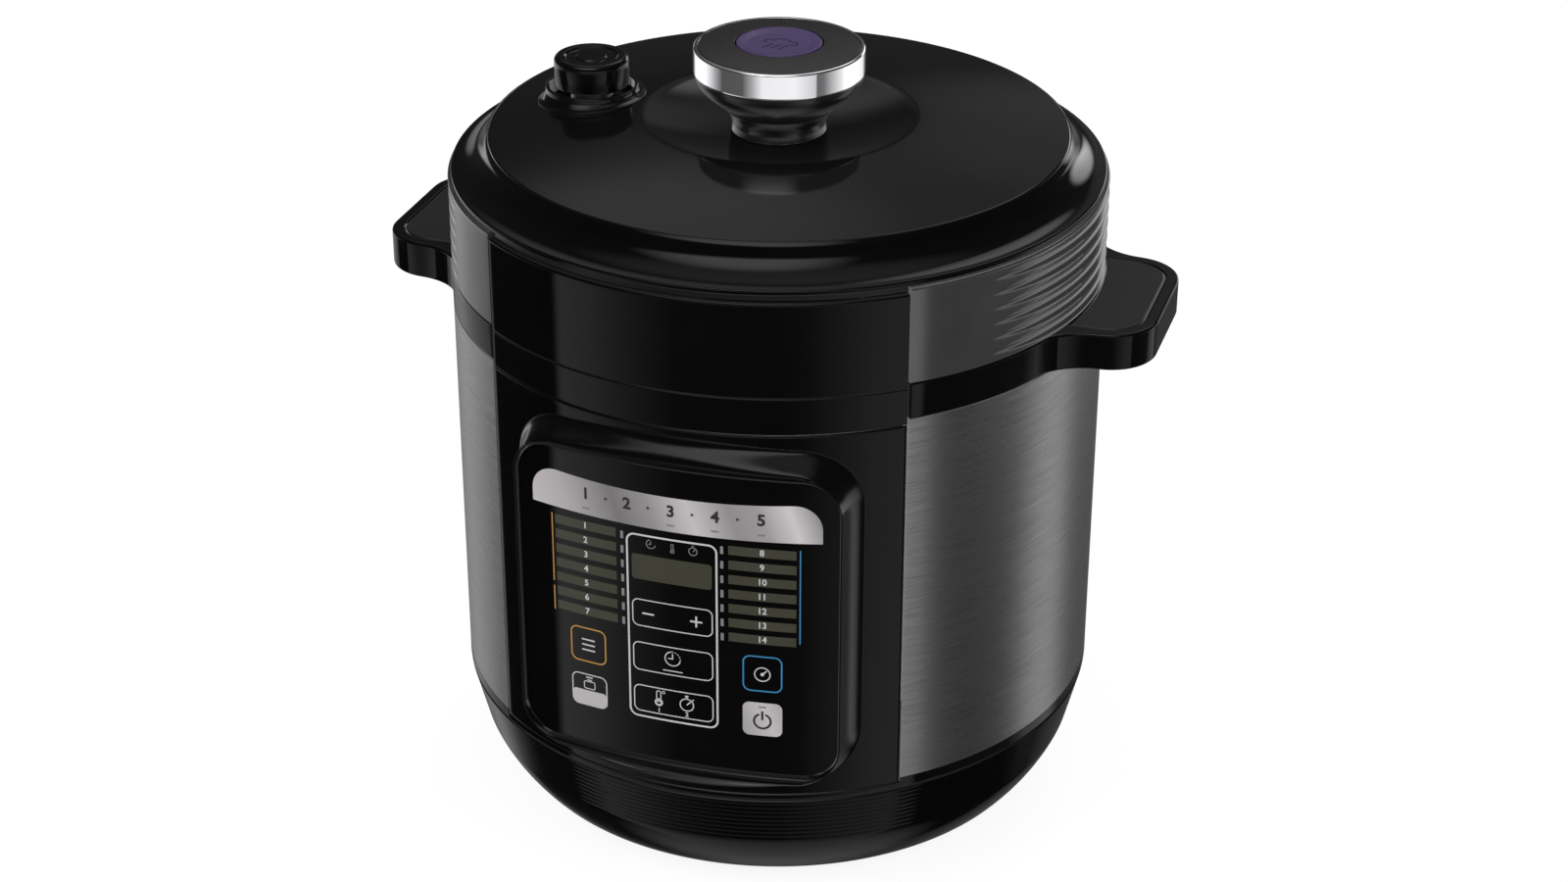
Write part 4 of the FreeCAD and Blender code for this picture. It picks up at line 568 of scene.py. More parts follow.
def scallopTree(finish):
    names = ["Radius", "Depth", "Reach", "Pitch", "Foot", "Span"]
    inputs = [("Geometry", "NodeSocketGeometry", None)] + [(n, "NodeSocketFloat", 0.0) for n in names]
    tree, source, sink = newGroup("collarScallops", "GeometryNodeTree", inputs, [("Geometry", "NodeSocketGeometry")])
    given, step = source.outputs, stepper(tree)
    x, y, z = spotSplit(tree)
    away = step("SQRT", step("ADD", step("MULTIPLY", x, x), step("MULTIPLY", y, y)))
    side = step("DIVIDE", step("ABSOLUTE", x), away)
    deep = step("SUBTRACT", given["Depth"], step("MULTIPLY", given["Reach"], step("SUBTRACT", 1.0, side)))
    # place across one scallop, from -1 to 1
    rise = step("DIVIDE", step("SUBTRACT", z, given["Foot"]), given["Pitch"])
    across = step("MULTIPLY", step("SUBTRACT", step("FRACT", rise), 0.5), 2.0)
    hollow = step("MULTIPLY", given["Depth"], step("MULTIPLY", across, across))
    cut = step("SMOOTH_MAX", step("SUBTRACT", deep, hollow), 0.0, 0.00012)
    under = step("LESS_THAN", z, step("ADD", given["Foot"], given["Span"]))
    inside = step("MULTIPLY", step("GREATER_THAN", z, given["Foot"]), under)
    outer = step("GREATER_THAN", away, step("SUBTRACT", given["Radius"], 0.00005))
    cut = step("MULTIPLY", cut, step("MULTIPLY", inside, outer))
    scale = step("DIVIDE", step("SUBTRACT", away, cut), away)
    place = addNode(tree, "ShaderNodeCombineXYZ", {0: step("MULTIPLY", x, scale), 1: step("MULTIPLY", y, scale), 2: z})
    feeds = {"Geometry": given["Geometry"], "Position": place.outputs[0]}
    paintOut(tree, addNode(tree, "GeometryNodeSetPosition", feeds), finish, sink)
    return tree


def applyTree(made, tree, values, sharp=35.0):
    live = made.modifiers.new("rule", "NODES")
    for group in (None, tree):
        # the values are given before and after the rule is set
        live.node_group = group
        for item in tree.interface.items_tree:
            if item.in_out == "INPUT" and item.name in values:
                live[item.identifier] = values[item.name]
    return plain(made, sharp)


def collarShell():
    out, inner = collar["radius"], collar["radius"] - collar["wall"]
    pitch = (collar["high"] - collar["low"] - 2 * collar["margin"]) / collar["count"]
    rows = 18 * collar["count"]
    foot = collar["low"] + collar["margin"]
    line = [(inner, collar["low"]), (out - 0.3, collar["low"]), (out, collar["low"] + 0.3)]
    line += [(out, foot + pitch * collar["count"] * k / rows) for k in range(rows)]
    line += arcLine(out - collar["round"], collar["high"] - collar["round"], collar["round"], 0, 90, 5)
    line.append((inner, collar["high"]))
    made = spun("collar_shell_skin", line, 420, collar["seam"], 360 - 2 * collar["seam"])
    values = {"Radius": out * mm, "Depth": collar["depth"] * mm, "Reach": collar["reach"] * mm, "Pitch": pitch * mm,
              "Foot": foot * mm, "Span": pitch * collar["count"] * mm}
    applyTree(made, scallopTree(finishes["collar_grey"]), values, 42)
    return fit(made, "base", finishes["collar_grey"], "collar_grey", "collar_shell")


collarShell()
print("collar made")


# glossy front pieces: collar panel, band and the lower front with the bezel
front = {"radius": 147.5, "wall": 3.7, "half": 38.98, "edge": 0.5, "panelLow": 253.95, "panelHigh": 296.7,
         "bandLow": 236.95, "bandHigh": 253.65, "low": 59.6, "high": 236.65}
bezel = {"half": 77.5, "low": 65.0, "high": 229.0, "corner": 27.0, "crestRadius": 302.45, "axis": 150.0,
         "windowHalf": 72.3, "windowLow": 74.0, "windowHigh": 219.0, "windowCorner": 15.0, "root": -0.5, "narrow": 0.35,
         "crest": 0.76, "cove": 0.985}
bezelBlack = makeFinish("bezelBlack", grey(0.0018), grey(0.0024), 30, (0.15, 0.18), specular=0.2)
film = {"radius": 300.0, "axis": 150.0, "half": 72.0, "low": 74.3, "high": 218.7, "corner": 14.7, "wall": 2.5}


def filmDepth(x):
    return film["axis"] - math.sqrt(film["radius"] ** 2 - x * x)


def crestDepth(x):
    return bezel["axis"] - math.sqrt(bezel["crestRadius"] ** 2 - x * x)


def skinDepth(x):
    return -math.sqrt(front["radius"] ** 2 - x * x)


def frontPieces():
    out, inner, soft = front["radius"], front["radius"] - front["wall"], front["edge"]
    for name, low, high, top in (("collar_front_panel", front["panelLow"], front["panelHigh"], 1.0),
                                 ("front_band", front["bandLow"], front["bandHigh"], soft)):
        line = softLine([(inner, low), (out, low, soft), (out, high, top), (inner, high)])
        made = spun(name + "_skin", line, 96, -front["half"], 2 * front["half"])
        bevelled(made, 0.4, 2, 60)
        settle(made.data)
        evened(plain(made, 40))
        fit(made, "base", finishes["gloss_black"], "gloss_black", name)


def roundedLoop(half, low, high, corner, count=30, round=14):
    # starts at the left end of the lower edge and goes anticlockwise seen from the front
    loop = []
    flat, tall = half - corner, (high - low) / 2 - corner
    middle = (low + high) / 2
    legs = [((flat, middle - tall), -90, (-flat, low), (flat, low)),
            ((flat, middle + tall), 0, (half, middle - tall), (half, middle + tall)),
            ((-flat, middle + tall), 90, (flat, high), (-flat, high)),
            ((-flat, middle - tall), 180, (-half, middle + tall), (-half, middle - tall))]
    for (cx, cz), start, first, last in legs:
        loop += [(first[0] + (last[0] - first[0]) * k / count, first[1] + (last[1] - first[1]) * k / count)
                 for k in range(count)]
        loop += arcLine(cx, cz, corner, start, start + 90, round)[:-1]
    return loop


def insideRounded(x, z, half, low, high, corner):
    dx = max(abs(x) - (half - corner), 0.0)
    dz = max(abs(z - (low + high) / 2) - ((high - low) / 2 - corner), 0.0)
    if dx == 0 or dz == 0:
        return abs(x) < half and low < z < high
    return math.hypot(dx, dz) < corner


def fasciaSkin():
    # the round lower front, open behind the control panel
    cols, rows = 128, 120
    angles = [-front["half"], -front["half"] + 0.06, -front["half"] + 0.2]
    angles += [-front["half"] + 0.5 + (2 * front["half"] - 1.0) * k / cols for k in range(cols + 1)]
    angles += [front["half"] - 0.2, front["half"] - 0.06, front["half"]]
    heights = [front["low"], front["low"] + 0.15, front["low"] + 0.5]
    heights += [front["low"] + 1 + (front["high"] - front["low"] - 2) * k / rows for k in range(rows + 1)]
    heights += [front["high"] - 0.5, front["high"] - 0.15, front["high"]]
    sinks = {0: 0.5, 1: 0.2, 2: 0.04}
    verts, faces = [], []
    for i, angle in enumerate(angles):
        for k, z in enumerate(heights):
            sink = max(sinks.get(min(i, len(angles) - 1 - i), 0), sinks.get(min(k, len(heights) - 1 - k), 0))
            r = front["radius"] - sink
            a = math.radians(angle)
            verts.append((r * math.sin(a), -r * math.cos(a), z))
    count = len(heights)
    for i in range(len(angles) - 1):
        for k in range(count - 1):
            x = front["radius"] * math.sin(math.radians((angles[i] + angles[i + 1]) / 2))
            z = (heights[k] + heights[k + 1]) / 2
            if not insideRounded(x, z, bezel["half"] - 3, bezel["low"] + 3, bezel["high"] - 3, bezel["corner"] - 3):
                faces.append((i * count + k, (i + 1) * count + k, (i + 1) * count + k + 1, i * count + k + 1))
    made = meshObject("front_fascia_skin", verts, faces)
    settle(made.data, 60)
    wall = made.modifiers.new("wall", "SOLIDIFY")
    wall.thickness = 3.0 * mm
    wall.offset = -1.0
    plain(made, 40)
    return fit(made, "base", finishes["gloss_black"], "gloss_black", "front_fascia")


def bezelRing():
    outer = roundedLoop(bezel["half"], bezel["low"], bezel["high"], bezel["corner"])
    inner = roundedLoop(bezel["windowHalf"], bezel["windowLow"], bezel["windowHigh"], bezel["windowCorner"])
    rings = []
    # swell from the round front to the crest, then down to the window; soft over the top and foot, coved at the sides
    root, crest, cove = bezel["root"], bezel["crest"], bezel["cove"]
    for k in range(33):
        s = math.sin(math.pi / 2 * k / 32)
        arc = (1 - math.sqrt(1 - cove * s * s)) / (1 - math.sqrt(1 - cove))
        rings.append((1 - s, s ** 3 * (10 - 15 * s + 6 * s * s), arc, 0.0))
    edge = [(0.84, 0.0), (0.90, 0.25), (0.96, 0.8), (0.985, 1.6), (0.99, 6.0)]
    rings += [((share - crest) / (root - crest), 1.0, 1.0, drop) for share, drop in edge]
    flat, tall = bezel["half"] - bezel["corner"], (bezel["high"] - bezel["low"]) / 2 - bezel["corner"]
    middle = (bezel["high"] + bezel["low"]) / 2
    sides = []
    for x, z in outer:
        away = Vector((max(abs(x) - flat, 0.0), max(abs(z - middle) - tall, 0.0)))
        sides.append(away.normalized().x ** 2)
    verts = []
    for share, swell, arc, drop in rings:
        for (ox, oz), (ix, iz), side in zip(outer, inner, sides):
            foot = root + bezel["narrow"] * min(abs(ox) / flat, 1.0) ** 2 if share > 0 else root
            along = crest + (foot - crest) * share
            x, z = ox + (ix - ox) * along, oz + (iz - oz) * along
            rise = swell + (arc - swell) * side
            verts.append((x, skinDepth(x) + (crestDepth(x) - skinDepth(x)) * rise + drop, z))
    for (ox, oz), (ix, iz) in zip(outer, inner):
        foot = root + bezel["narrow"] * min(abs(ox) / flat, 1.0) ** 2
        x, z = ox + (ix - ox) * foot, oz + (iz - oz) * foot
        verts.append((x, skinDepth(x) + 2.0, z))
    made = meshObject("panel_bezel", verts, quads(len(rings) + 1, len(outer)))
    return dress(made, 50, "base", bezelBlack, "gloss_black", "front_fascia")


def filmPlate():
    xs = [-film["half"] + film["corner"] * (1 - math.cos(math.pi / 2 * k / 16)) for k in range(17)]
    flat = film["half"] - film["corner"]
    xs += [-flat + 2 * flat * k / 48 for k in range(1, 48)]
    xs += [-x for x in reversed(xs[:17])]
    verts = []
    for x in xs:
        over = max(abs(x) - flat, 0.0)
        trim = film["corner"] - math.sqrt(max(film["corner"] ** 2 - over * over, 0.0))
        low, high = film["low"] + trim, film["high"] - trim
        near, far = filmDepth(x), filmDepth(x) + film["wall"]
        rows = [(near + 0.25, low), (near + 0.08, low + 0.1), (near, low + 0.3), (near, low + 0.6), (near, high - 0.6),
                (near, high - 0.3), (near + 0.08, high - 0.1), (near + 0.25, high), (far, high), (far, low)]
        verts += [(x, y, z) for y, z in rows]
    made = meshObject("panel_overlay_skin", verts, capped(len(xs), len(rows)))
    return dress(made, 50, "base", finishes["panel_black"], "panel_black", "panel_overlay")


frontPieces()
fasciaSkin()
bezelRing()
filmPlate()
print("front made")


# marks on the control panel: a store of thin raised strips that follow the curved film
marks = {"lift": 0.06, "sink": 0.4, "labelIn": 25.2, "labelOut": 54.2, "labelHeight": 4.3, "labelPitch": 7.05,
         "labelTop": 186.1, "labelRows": 7, "tick": 22.4, "line": 55.8, "frameHalf": 20.5, "frameLow": 94.2,
         "frameHigh": 185.5, "keyIn": 31.2, "keyOut": 48.4, "stripHalf": 65.0, "stripCorner": 12.5,
         "stripSpots": (-39.0, -19.8, 0.0, 19.6, 39.4), "overSilver": 0.06}


def onFilm(x, z, out):
    return (x, filmDepth(x) - out, z)


def onButton(x, y, out):
    return (x, y, dishLevel(math.hypot(x, y)) + out)


class Marks:
    def __init__(self, spot=onFilm):
        self.spot = spot
        self.verts = []
        self.faces = []

    def strip(self, lineA, lineB, loop=False, extra=0.0):
        base = len(self.verts)
        count = len(lineA)
        for line in (lineA, lineB):
            self.verts += [self.spot(x, z, marks["lift"] + extra) for x, z in line]
            self.verts += [self.spot(x, z, -marks["sink"]) for x, z in line]
        a, aBack, b, bBack = (base + count * k for k in range(4))
        for i in range(count if loop else count - 1):
            j = (i + 1) % count
            self.faces += [(a + i, a + j, b + j, b + i), (aBack + i, bBack + i, bBack + j, aBack + j),
                           (a + i, aBack + i, aBack + j, a + j), (b + i, b + j, bBack + j, bBack + i)]
        if not loop:
            for i in (0, count - 1):
                self.faces.append((a + i, b + i, bBack + i, aBack + i))

    def bar(self, x0, x1, z0, z1, corner=0.0, extra=0.0):
        corner = max(corner, 0.02)
        xs = [x0 + corner * (1 - math.cos(math.pi / 2 * k / 6)) for k in range(7)]
        count = max(2, int((x1 - x0) / 3))
        xs += [x0 + corner + (x1 - x0 - 2 * corner) * k / count for k in range(1, count)]
        xs += [x1 - corner * (1 - math.sin(math.pi / 2 * k / 6)) for k in range(7)]
        low, high = [], []
        for x in xs:
            over = max(x0 + corner - x, x - x1 + corner, 0.0)
            trim = corner - math.sqrt(max(corner ** 2 - over * over, 0.0)) - 1e-4
            low.append((x, z0 + trim))
            high.append((x, z1 - trim))
        self.strip(low, high, extra=extra)

    def frame(self, x0, x1, z0, z1, corner, width):
        half, middle = (x1 - x0) / 2, (x0 + x1) / 2
        outer = roundedLoop(half, z0, z1, corner)
        inner = roundedLoop(half - width, z0 + width, z1 - width, corner - width)
        self.strip([(x + middle, z) for x, z in outer], [(x + middle, z) for x, z in inner], True)

    def ring(self, x, z, radius, width, start=0.0, sweep=360.0, extra=0.0):
        steps = max(6, int(sweep / 10))
        outer = arcLine(x, z, radius, start, start + sweep, steps)
        inner = arcLine(x, z, radius - width, start, start + sweep, steps)
        if sweep >= 360:
            self.strip(outer[:-1], inner[:-1], True, extra)
        else:
            self.strip(outer, inner, False, extra)

    def stroke(self, x0, z0, x1, z1, width):
        run = Vector((x1 - x0, z1 - z0)).normalized()
        nx, nz = -run.y * width / 2, run.x * width / 2
        self.strip([(x0 + nx, z0 + nz), (x1 + nx, z1 + nz)], [(x0 - nx, z0 - nz), (x1 - nx, z1 - nz)])

    def numeral(self, text, x, z, height, extra=0.0, bold=0.03):
        curve = bpy.data.curves.new("numeral", "FONT")
        curve.body = text
        curve.size = height / 0.70
        curve.align_x = "CENTER"
        curve.align_y = "CENTER"
        curve.offset = bold * height
        curve.resolution_u = 4
        holder = linked("numeral", curve)
        bpy.context.view_layer.update()
        flat = bpy.data.meshes.new_from_object(holder.evaluated_get(bpy.context.evaluated_depsgraph_get()))
        base = len(self.verts)
        for v in flat.vertices:
            self.verts.append(self.spot(x + v.co.x, z + v.co.y, marks["lift"] + extra))
        for face in flat.polygons:
            self.faces.append(tuple(base + i for i in face.vertices))
        bpy.data.objects.remove(holder)
        bpy.data.curves.remove(curve)

    def place(self, name, finish, body="base", slotName="panel_black"):
        made = meshObject(name, self.verts, self.faces)
        settle(made.data, 30)
        # flat numerals have no back, so every front face is turned to the viewer
        work = bmesh.new()
        work.from_mesh(made.data)
        bmesh.ops.reverse_faces(work, faces=[f for f in work.faces if len(f.edges) > 2 and f.normal.y > 0.5
                                             and any(e.is_boundary for e in f.edges)])
        work.to_mesh(made.data)
        work.free()
        return fit(made, body, finish, slotName)


paleInk = makeFinish("paleInk", grey(0.60), grey(0.66), 80, (0.35, 0.45))
dimInk = makeFinish("dimInk", grey(0.22), grey(0.26), 80, (0.35, 0.45))
amberInk = makeFinish("amberInk", (0.52, 0.27, 0.045), (0.58, 0.31, 0.06), 80, (0.35, 0.45))
blueInk = makeFinish("blueInk", (0.025, 0.24, 0.50), (0.035, 0.29, 0.56), 80, (0.35, 0.45))
oliveFilm = makeFinish("oliveFilm", (0.048, 0.048, 0.030), (0.054, 0.054, 0.034), 50, (0.30, 0.40))
# the steam sign's darker plum is painted shade for a sunken mark
plumPaintedShade = makeFinish("plumPaintedShade", (0.020, 0.013, 0.038), (0.024, 0.016, 0.044), 60, (0.38, 0.44), specular=0.25)
darkInk = makeFinish("darkInk", grey(0.02), grey(0.025), 80, (0.40, 0.50))


def silverFinish():
    # printed silver whose colour lightens and darkens along the strip in bands: these bands are painted reflection,
    # standing in for the foil's mirror image of the studio
    finish = makeFinish("silverFoilPaintedReflection", (0.5, 0.47, 0.5), (0.6, 0.57, 0.6), 60, (0.32, 0.32), metal=0.2)
    tree = finish.node_tree
    spot = split(tree, objectPlace(tree))
    along = mathStep(tree, "ADD", spot["X"], mathStep(tree, "MULTIPLY", spot["Z"], 0.35))
    share = addNode(tree, "ShaderNodeMapRange", {"Value": along, "From Min": 0.004,
                                                 "From Max": 0.136}).outputs["Result"]
    stops = [(0.0, 0.62), (0.12, 0.52), (0.30, 0.24), (0.42, 0.38), (0.56, 0.74), (0.70, 0.38), (0.80, 0.46),
             (0.90, 0.82), (1.0, 0.30)]
    reflectionBands = rampStops(tree, share, [(at, (value, value * 0.95, value * 0.98)) for at, value in stops])
    tree.links.new(reflectionBands, tree.nodes["Principled BSDF"].inputs["Base Color"])
    return finish


silverFoilPaintedReflection = silverFinish()


def rowTree(name, finish):
    # upright row of thin boxes bent to the curved film
    sizes = ("Width", "Height", "Pitch", "Middle", "Top", "Bend", "Axis", "Lift")
    inputs = [("Count", "NodeSocketInt", 7)] + [(n, "NodeSocketFloat", 0.0) for n in sizes]
    tree, source, sink = newGroup(name, "GeometryNodeTree", inputs, [("Geometry", "NodeSocketGeometry")])
    given, step = source.outputs, stepper(tree)

    def vector(feeds):
        return addNode(tree, "ShaderNodeCombineXYZ", feeds).outputs[0]

    size = vector({0: given["Width"], 1: step("MULTIPLY", given["Lift"], 2.0), 2: given["Height"]})
    cell = addNode(tree, "GeometryNodeMeshCube", {"Size": size, "Vertices X": 12})
    first = step("SUBTRACT", given["Top"], step("MULTIPLY", given["Height"], 0.5))
    feeds = {"Count": given["Count"], "Start Location": vector({0: given["Middle"], 2: first}),
             "Offset": vector({2: step("MULTIPLY", given["Pitch"], -1.0)})}
    line = addNode(tree, "GeometryNodeMeshLine", feeds)
    copies = addNode(tree, "GeometryNodeInstanceOnPoints", {"Points": line.outputs[0], "Instance": cell.outputs[0]})
    real = addNode(tree, "GeometryNodeRealizeInstances", {0: copies.outputs[0]})
    x = spotSplit(tree)[0]
    root = step("SQRT", step("SUBTRACT", step("MULTIPLY", given["Bend"], given["Bend"]), step("MULTIPLY", x, x)))
    feeds = {"Geometry": real.outputs[0], "Offset": vector({1: step("SUBTRACT", given["Axis"], root)})}
    paintOut(tree, addNode(tree, "GeometryNodeSetPosition", feeds), finish, sink)
    return tree


def labelRows():
    labels, ticks = rowTree("labelRows", oliveFilm), rowTree("lampRows", dimInk)
    shared = {"Count": marks["labelRows"], "Pitch": marks["labelPitch"] * mm, "Bend": film["radius"] * mm,
              "Axis": film["axis"] * mm, "Lift": 0.05 * mm}
    wide = marks["labelOut"] - marks["labelIn"]
    middle = (marks["labelOut"] + marks["labelIn"]) / 2
    for side, word in ((-1, "left"), (1, "right")):
        made = meshObject("panel_labels_" + word, [], [])
        values = dict(shared, Width=wide * mm, Height=marks["labelHeight"] * mm, Middle=middle * side * mm,
                      Top=marks["labelTop"] * mm)
        applyTree(made, labels, values, 30)
        fit(made, "base", oliveFilm, "panel_black")
        made = meshObject("panel_lamps_" + word, [], [])
        values = dict(shared, Width=1.3 * mm, Height=3.6 * mm, Middle=marks["tick"] * side * mm,
                      Top=(marks["labelTop"] - 0.7) * mm)
        applyTree(made, ticks, values, 30)
        fit(made, "base", dimInk, "panel_black")


def silverStrip():
    half = marks["stripHalf"]
    strip = Marks()
    low, high = [], []
    corner = marks["stripCorner"]
    ends = [half - corner * (1 - math.cos(math.pi / 2 * k / 14)) for k in range(15)]
    flat = [(half - corner) * (1 - k / 20) for k in range(1, 40)]
    for x in [-x for x in ends] + [-x for x in flat] + ends[::-1]:
        bow = (x / half) ** 2
        over = max(abs(x) - (half - corner), 0.0)
        trim = corner - math.sqrt(max(corner ** 2 - over * over, 0.0))
        low.append((x, 189.0 + 1.3 * bow))
        high.append((x, 205.3 + 3.6 * bow - trim))
    strip.strip(low, high)
    # silver halves of the two lower keys
    keyIn, keyOut = marks["keyIn"], marks["keyOut"]
    strip.bar(-keyOut + 0.5, -keyIn - 0.5, 94.0, 101.2, 1.5)
    strip.bar(keyIn, keyOut, 93.5, 110.2, 3.0)
    # the strip and the key halves carry the silver with its painted reflection bands
    return strip.place("panel_silver", silverFoilPaintedReflection)


def paleMarks():
    ink = Marks()
    half = marks["frameHalf"]
    ink.frame(-half, half, marks["frameLow"], marks["frameHigh"], 4.0, 0.85)
    for low, high in ((140.2, 153.7), (118.0, 132.3), (97.1, 110.6)):
        ink.frame(-18.3, 18.3, low, high, 3.0, 0.5)
    keyIn, keyOut = marks["keyIn"], marks["keyOut"]
    ink.frame(-keyOut, -keyIn, 93.4, 109.6, 3.2, 0.5)
    # minus and plus
    ink.bar(-13.6, -8.2, 146.4, 147.2)
    ink.bar(8.2, 13.6, 146.4, 147.2)
    ink.bar(10.5, 11.3, 144.1, 149.5)
    # clock on its key, with part of its face dotted
    ink.ring(0, 126.4, 3.7, 0.5, 100, 250)
    for k in range(5):
        a = math.radians(2 + 22 * k)
        ink.stroke(3.2 * math.cos(a), 126.4 + 3.2 * math.sin(a), 3.7 * math.cos(a), 126.4 + 3.7 * math.sin(a), 0.5)
    ink.stroke(0, 126.2, 0, 129.0, 0.5)
    ink.stroke(0.2, 126.4, -2.0, 126.4, 0.5)
    # thermometer and stopwatch on theirs
    ink.frame(-7.9, -5.5, 103.4, 109.2, 1.15, 0.45)
    ink.ring(-6.7, 103.2, 1.9, 0.9)
    ink.ring(-4.4, 108.6, 0.75, 0.3)
    ink.ring(6.2, 104.2, 3.3, 0.5)
    ink.bar(5.4, 7.0, 108.2, 108.9)
    ink.bar(5.9, 6.5, 107.3, 108.3)
    ink.stroke(6.2, 104.2, 7.9, 105.9, 0.6)
    ink.stroke(8.7, 106.7, 9.4, 107.4, 0.5)
    # small signs under the keys
    ink.stroke(-4.5, 120.2, 4.5, 120.2, 0.5)
    ink.numeral("1", -6.6, 99.2, 2.2)
    ink.numeral("2", 6.2, 99.2, 2.2)
    for row in range(marks["labelRows"]):
        z = marks["labelTop"] - marks["labelHeight"] / 2 - marks["labelPitch"] * row
        for side in (-1, 1):
            number = row + 1 if side < 0 else row + 8
            ink.numeral(str(number), 39.7 * side, z, 2.9, 0.05)
    # three bars on the left square, a gauge on the right one
    for z in (121.9, 124.5, 127.1):
        ink.bar(-43.0, -36.6, z - 0.35, z + 0.35, 0.3)
    ink.ring(39.8, 124.5, 3.6, 0.5)
    ink.stroke(39.8, 124.5, 41.6, 126.3, 0.6)
    ink.ring(39.8, 124.5, 0.8, 0.7)
    # the small pot sign over the left key's silver half
    ink.frame(-42.6, -37.0, 102.0, 106.0, 0.9, 0.4)
    ink.bar(-41.0, -38.6, 106.3, 106.8)
    ink.bar(-41.4, -38.2, 107.6, 108.2)
    return ink.place("panel_marks_pale", paleInk)


def dimMarks():
    ink = Marks()
    # clock, thermometer and stopwatch signs over the display
    ink.ring(-9.1, 181.4, 2.2, 0.35, 100, 250)
    ink.stroke(-9.1, 181.2, -9.1, 182.7, 0.3)
    ink.stroke(-9.0, 181.3, -10.2, 181.3, 0.3)
    ink.frame(0.0, 1.2, 179.8, 183.2, 0.55, 0.28)
    ink.ring(0.6, 179.6, 0.95, 0.4)
    ink.ring(9.8, 181.0, 2.0, 0.35)
    ink.bar(9.3, 10.3, 183.4, 183.8)
    ink.stroke(9.8, 181.0, 10.8, 182.0, 0.35)
    return ink.place("panel_marks_dim", dimInk)


def stripMarks():
    ink = Marks()
    spots, over = marks["stripSpots"], marks["overSilver"]
    for k, x in enumerate(spots):
        bow = (x / marks["stripHalf"]) ** 2
        ink.numeral(str(k + 1), x, 198.6 + 2.6 * bow, 5.2, over, 0.045)
        if k:
            middle = (x + spots[k - 1]) / 2
            z = 198.6 + 2.6 * (middle / marks["stripHalf"]) ** 2
            ink.strip([(middle - 0.7, z - 0.8), (middle + 0.8, z - 0.02)],
                      [(middle - 0.7, z + 0.8), (middle + 0.8, z + 0.02)], extra=over)
    # power sign
    x, z = (marks["keyIn"] + marks["keyOut"]) / 2, 100.9
    ink.ring(x, z, 4.1, 0.95, 112, 316, over)
    ink.bar(x - 0.48, x + 0.48, z + 0.6, z + 5.0, 0.0, over)
    return ink.place("panel_marks_dark", darkInk)


def stripLamps():
    ink = Marks()
    for x in marks["stripSpots"]:
        bow = (x / marks["stripHalf"]) ** 2
        ink.bar(x - 1.8, x + 1.8, 191.6 + 1.6 * bow, 192.5 + 1.6 * bow, 0.4, marks["overSilver"])
    middle = (marks["keyIn"] + marks["keyOut"]) / 2
    ink.bar(middle - 1.7, middle + 1.7, 107.6, 108.4, 0.35, marks["overSilver"])
    return ink.place("panel_strip_lamps", dimInk)


def colourMarks():
    keyIn, keyOut, line = marks["keyIn"], marks["keyOut"], marks["line"]
    amber = Marks()
    amber.frame(-keyOut, -keyIn, 115.8, 133.2, 3.4, 0.6)
    amber.bar(-line - 0.25, -line + 0.25, 153.0, 186.4)
    amber.bar(-line - 0.25, -line + 0.25, 138.6, 150.6)
    amber.place("panel_marks_amber", amberInk)
    blue = Marks()
    blue.frame(keyIn, keyOut, 115.8, 133.6, 3.4, 0.6)
    blue.bar(line - 0.25, line + 0.25, 141.0, 186.6)
    blue.place("panel_marks_blue", blueInk)
    glass = Marks()
    glass.bar(-18.0, 18.0, 163.5, 175.7, 1.5)
    glass.place("panel_display", oliveFilm)


def steamSign():
    # a small cloud over three slanting jets; its darker tone is painted shade, giving the look of sunken grooves
    ink = Marks(onButton)
    ink.ring(0.3, 2.0, 4.5, 0.9, 20, 140)
    ink.ring(-5.2, 1.9, 2.5, 0.9, 60, 200)
    ink.ring(5.6, 1.2, 2.7, 0.9, -95, 215)
    for x in (-2.4, 1.2, 4.8):
        ink.stroke(x - 0.4, -1.4, x - 3.0, -7.0, 0.9)
    return ink.place("button_steam_sign", plumPaintedShade, "button", "button_plum")


labelRows()
silverStrip()
paleMarks()
dimMarks()
stripMarks()
stripLamps()
colourMarks()
steamSign()
print("panel marks made")


# base: smooth taper, fine ribs, shadow groove and the lip that drops at the front
base = {"foot": 6.0, "floor": 9.0, "opening": 116.0, "radius": 126.0, "ribFoot": 30.0, "ribRadius": 141.0,
        "ribTop": 55.8,
        "ribs": 10, "ribDepth": 0.06, "groove": 1.2, "grooveDepth": 1.6, "lipRadius": 147.5, "lipTop": 61.9,
        "frontTop": 59.6,
        "wall": 3.0, "bulge": 80.0, "inletHalf": 5.8, "inletLow": 22.2, "inletHigh": 43.8}


def baseTaper(z):
    # the bulged taper between the foot and the ribs
    a, b = Vector((base["radius"], base["foot"])), Vector((base["ribRadius"], base["ribFoot"]))
    way = b - a
    rise = math.sqrt(base["bulge"] ** 2 - way.length_squared / 4)
    centre = (a + b) / 2 + Vector((-way.y, way.x)).normalized() * rise
    return centre.x + math.sqrt(base["bulge"] ** 2 - (z - centre.y) ** 2)


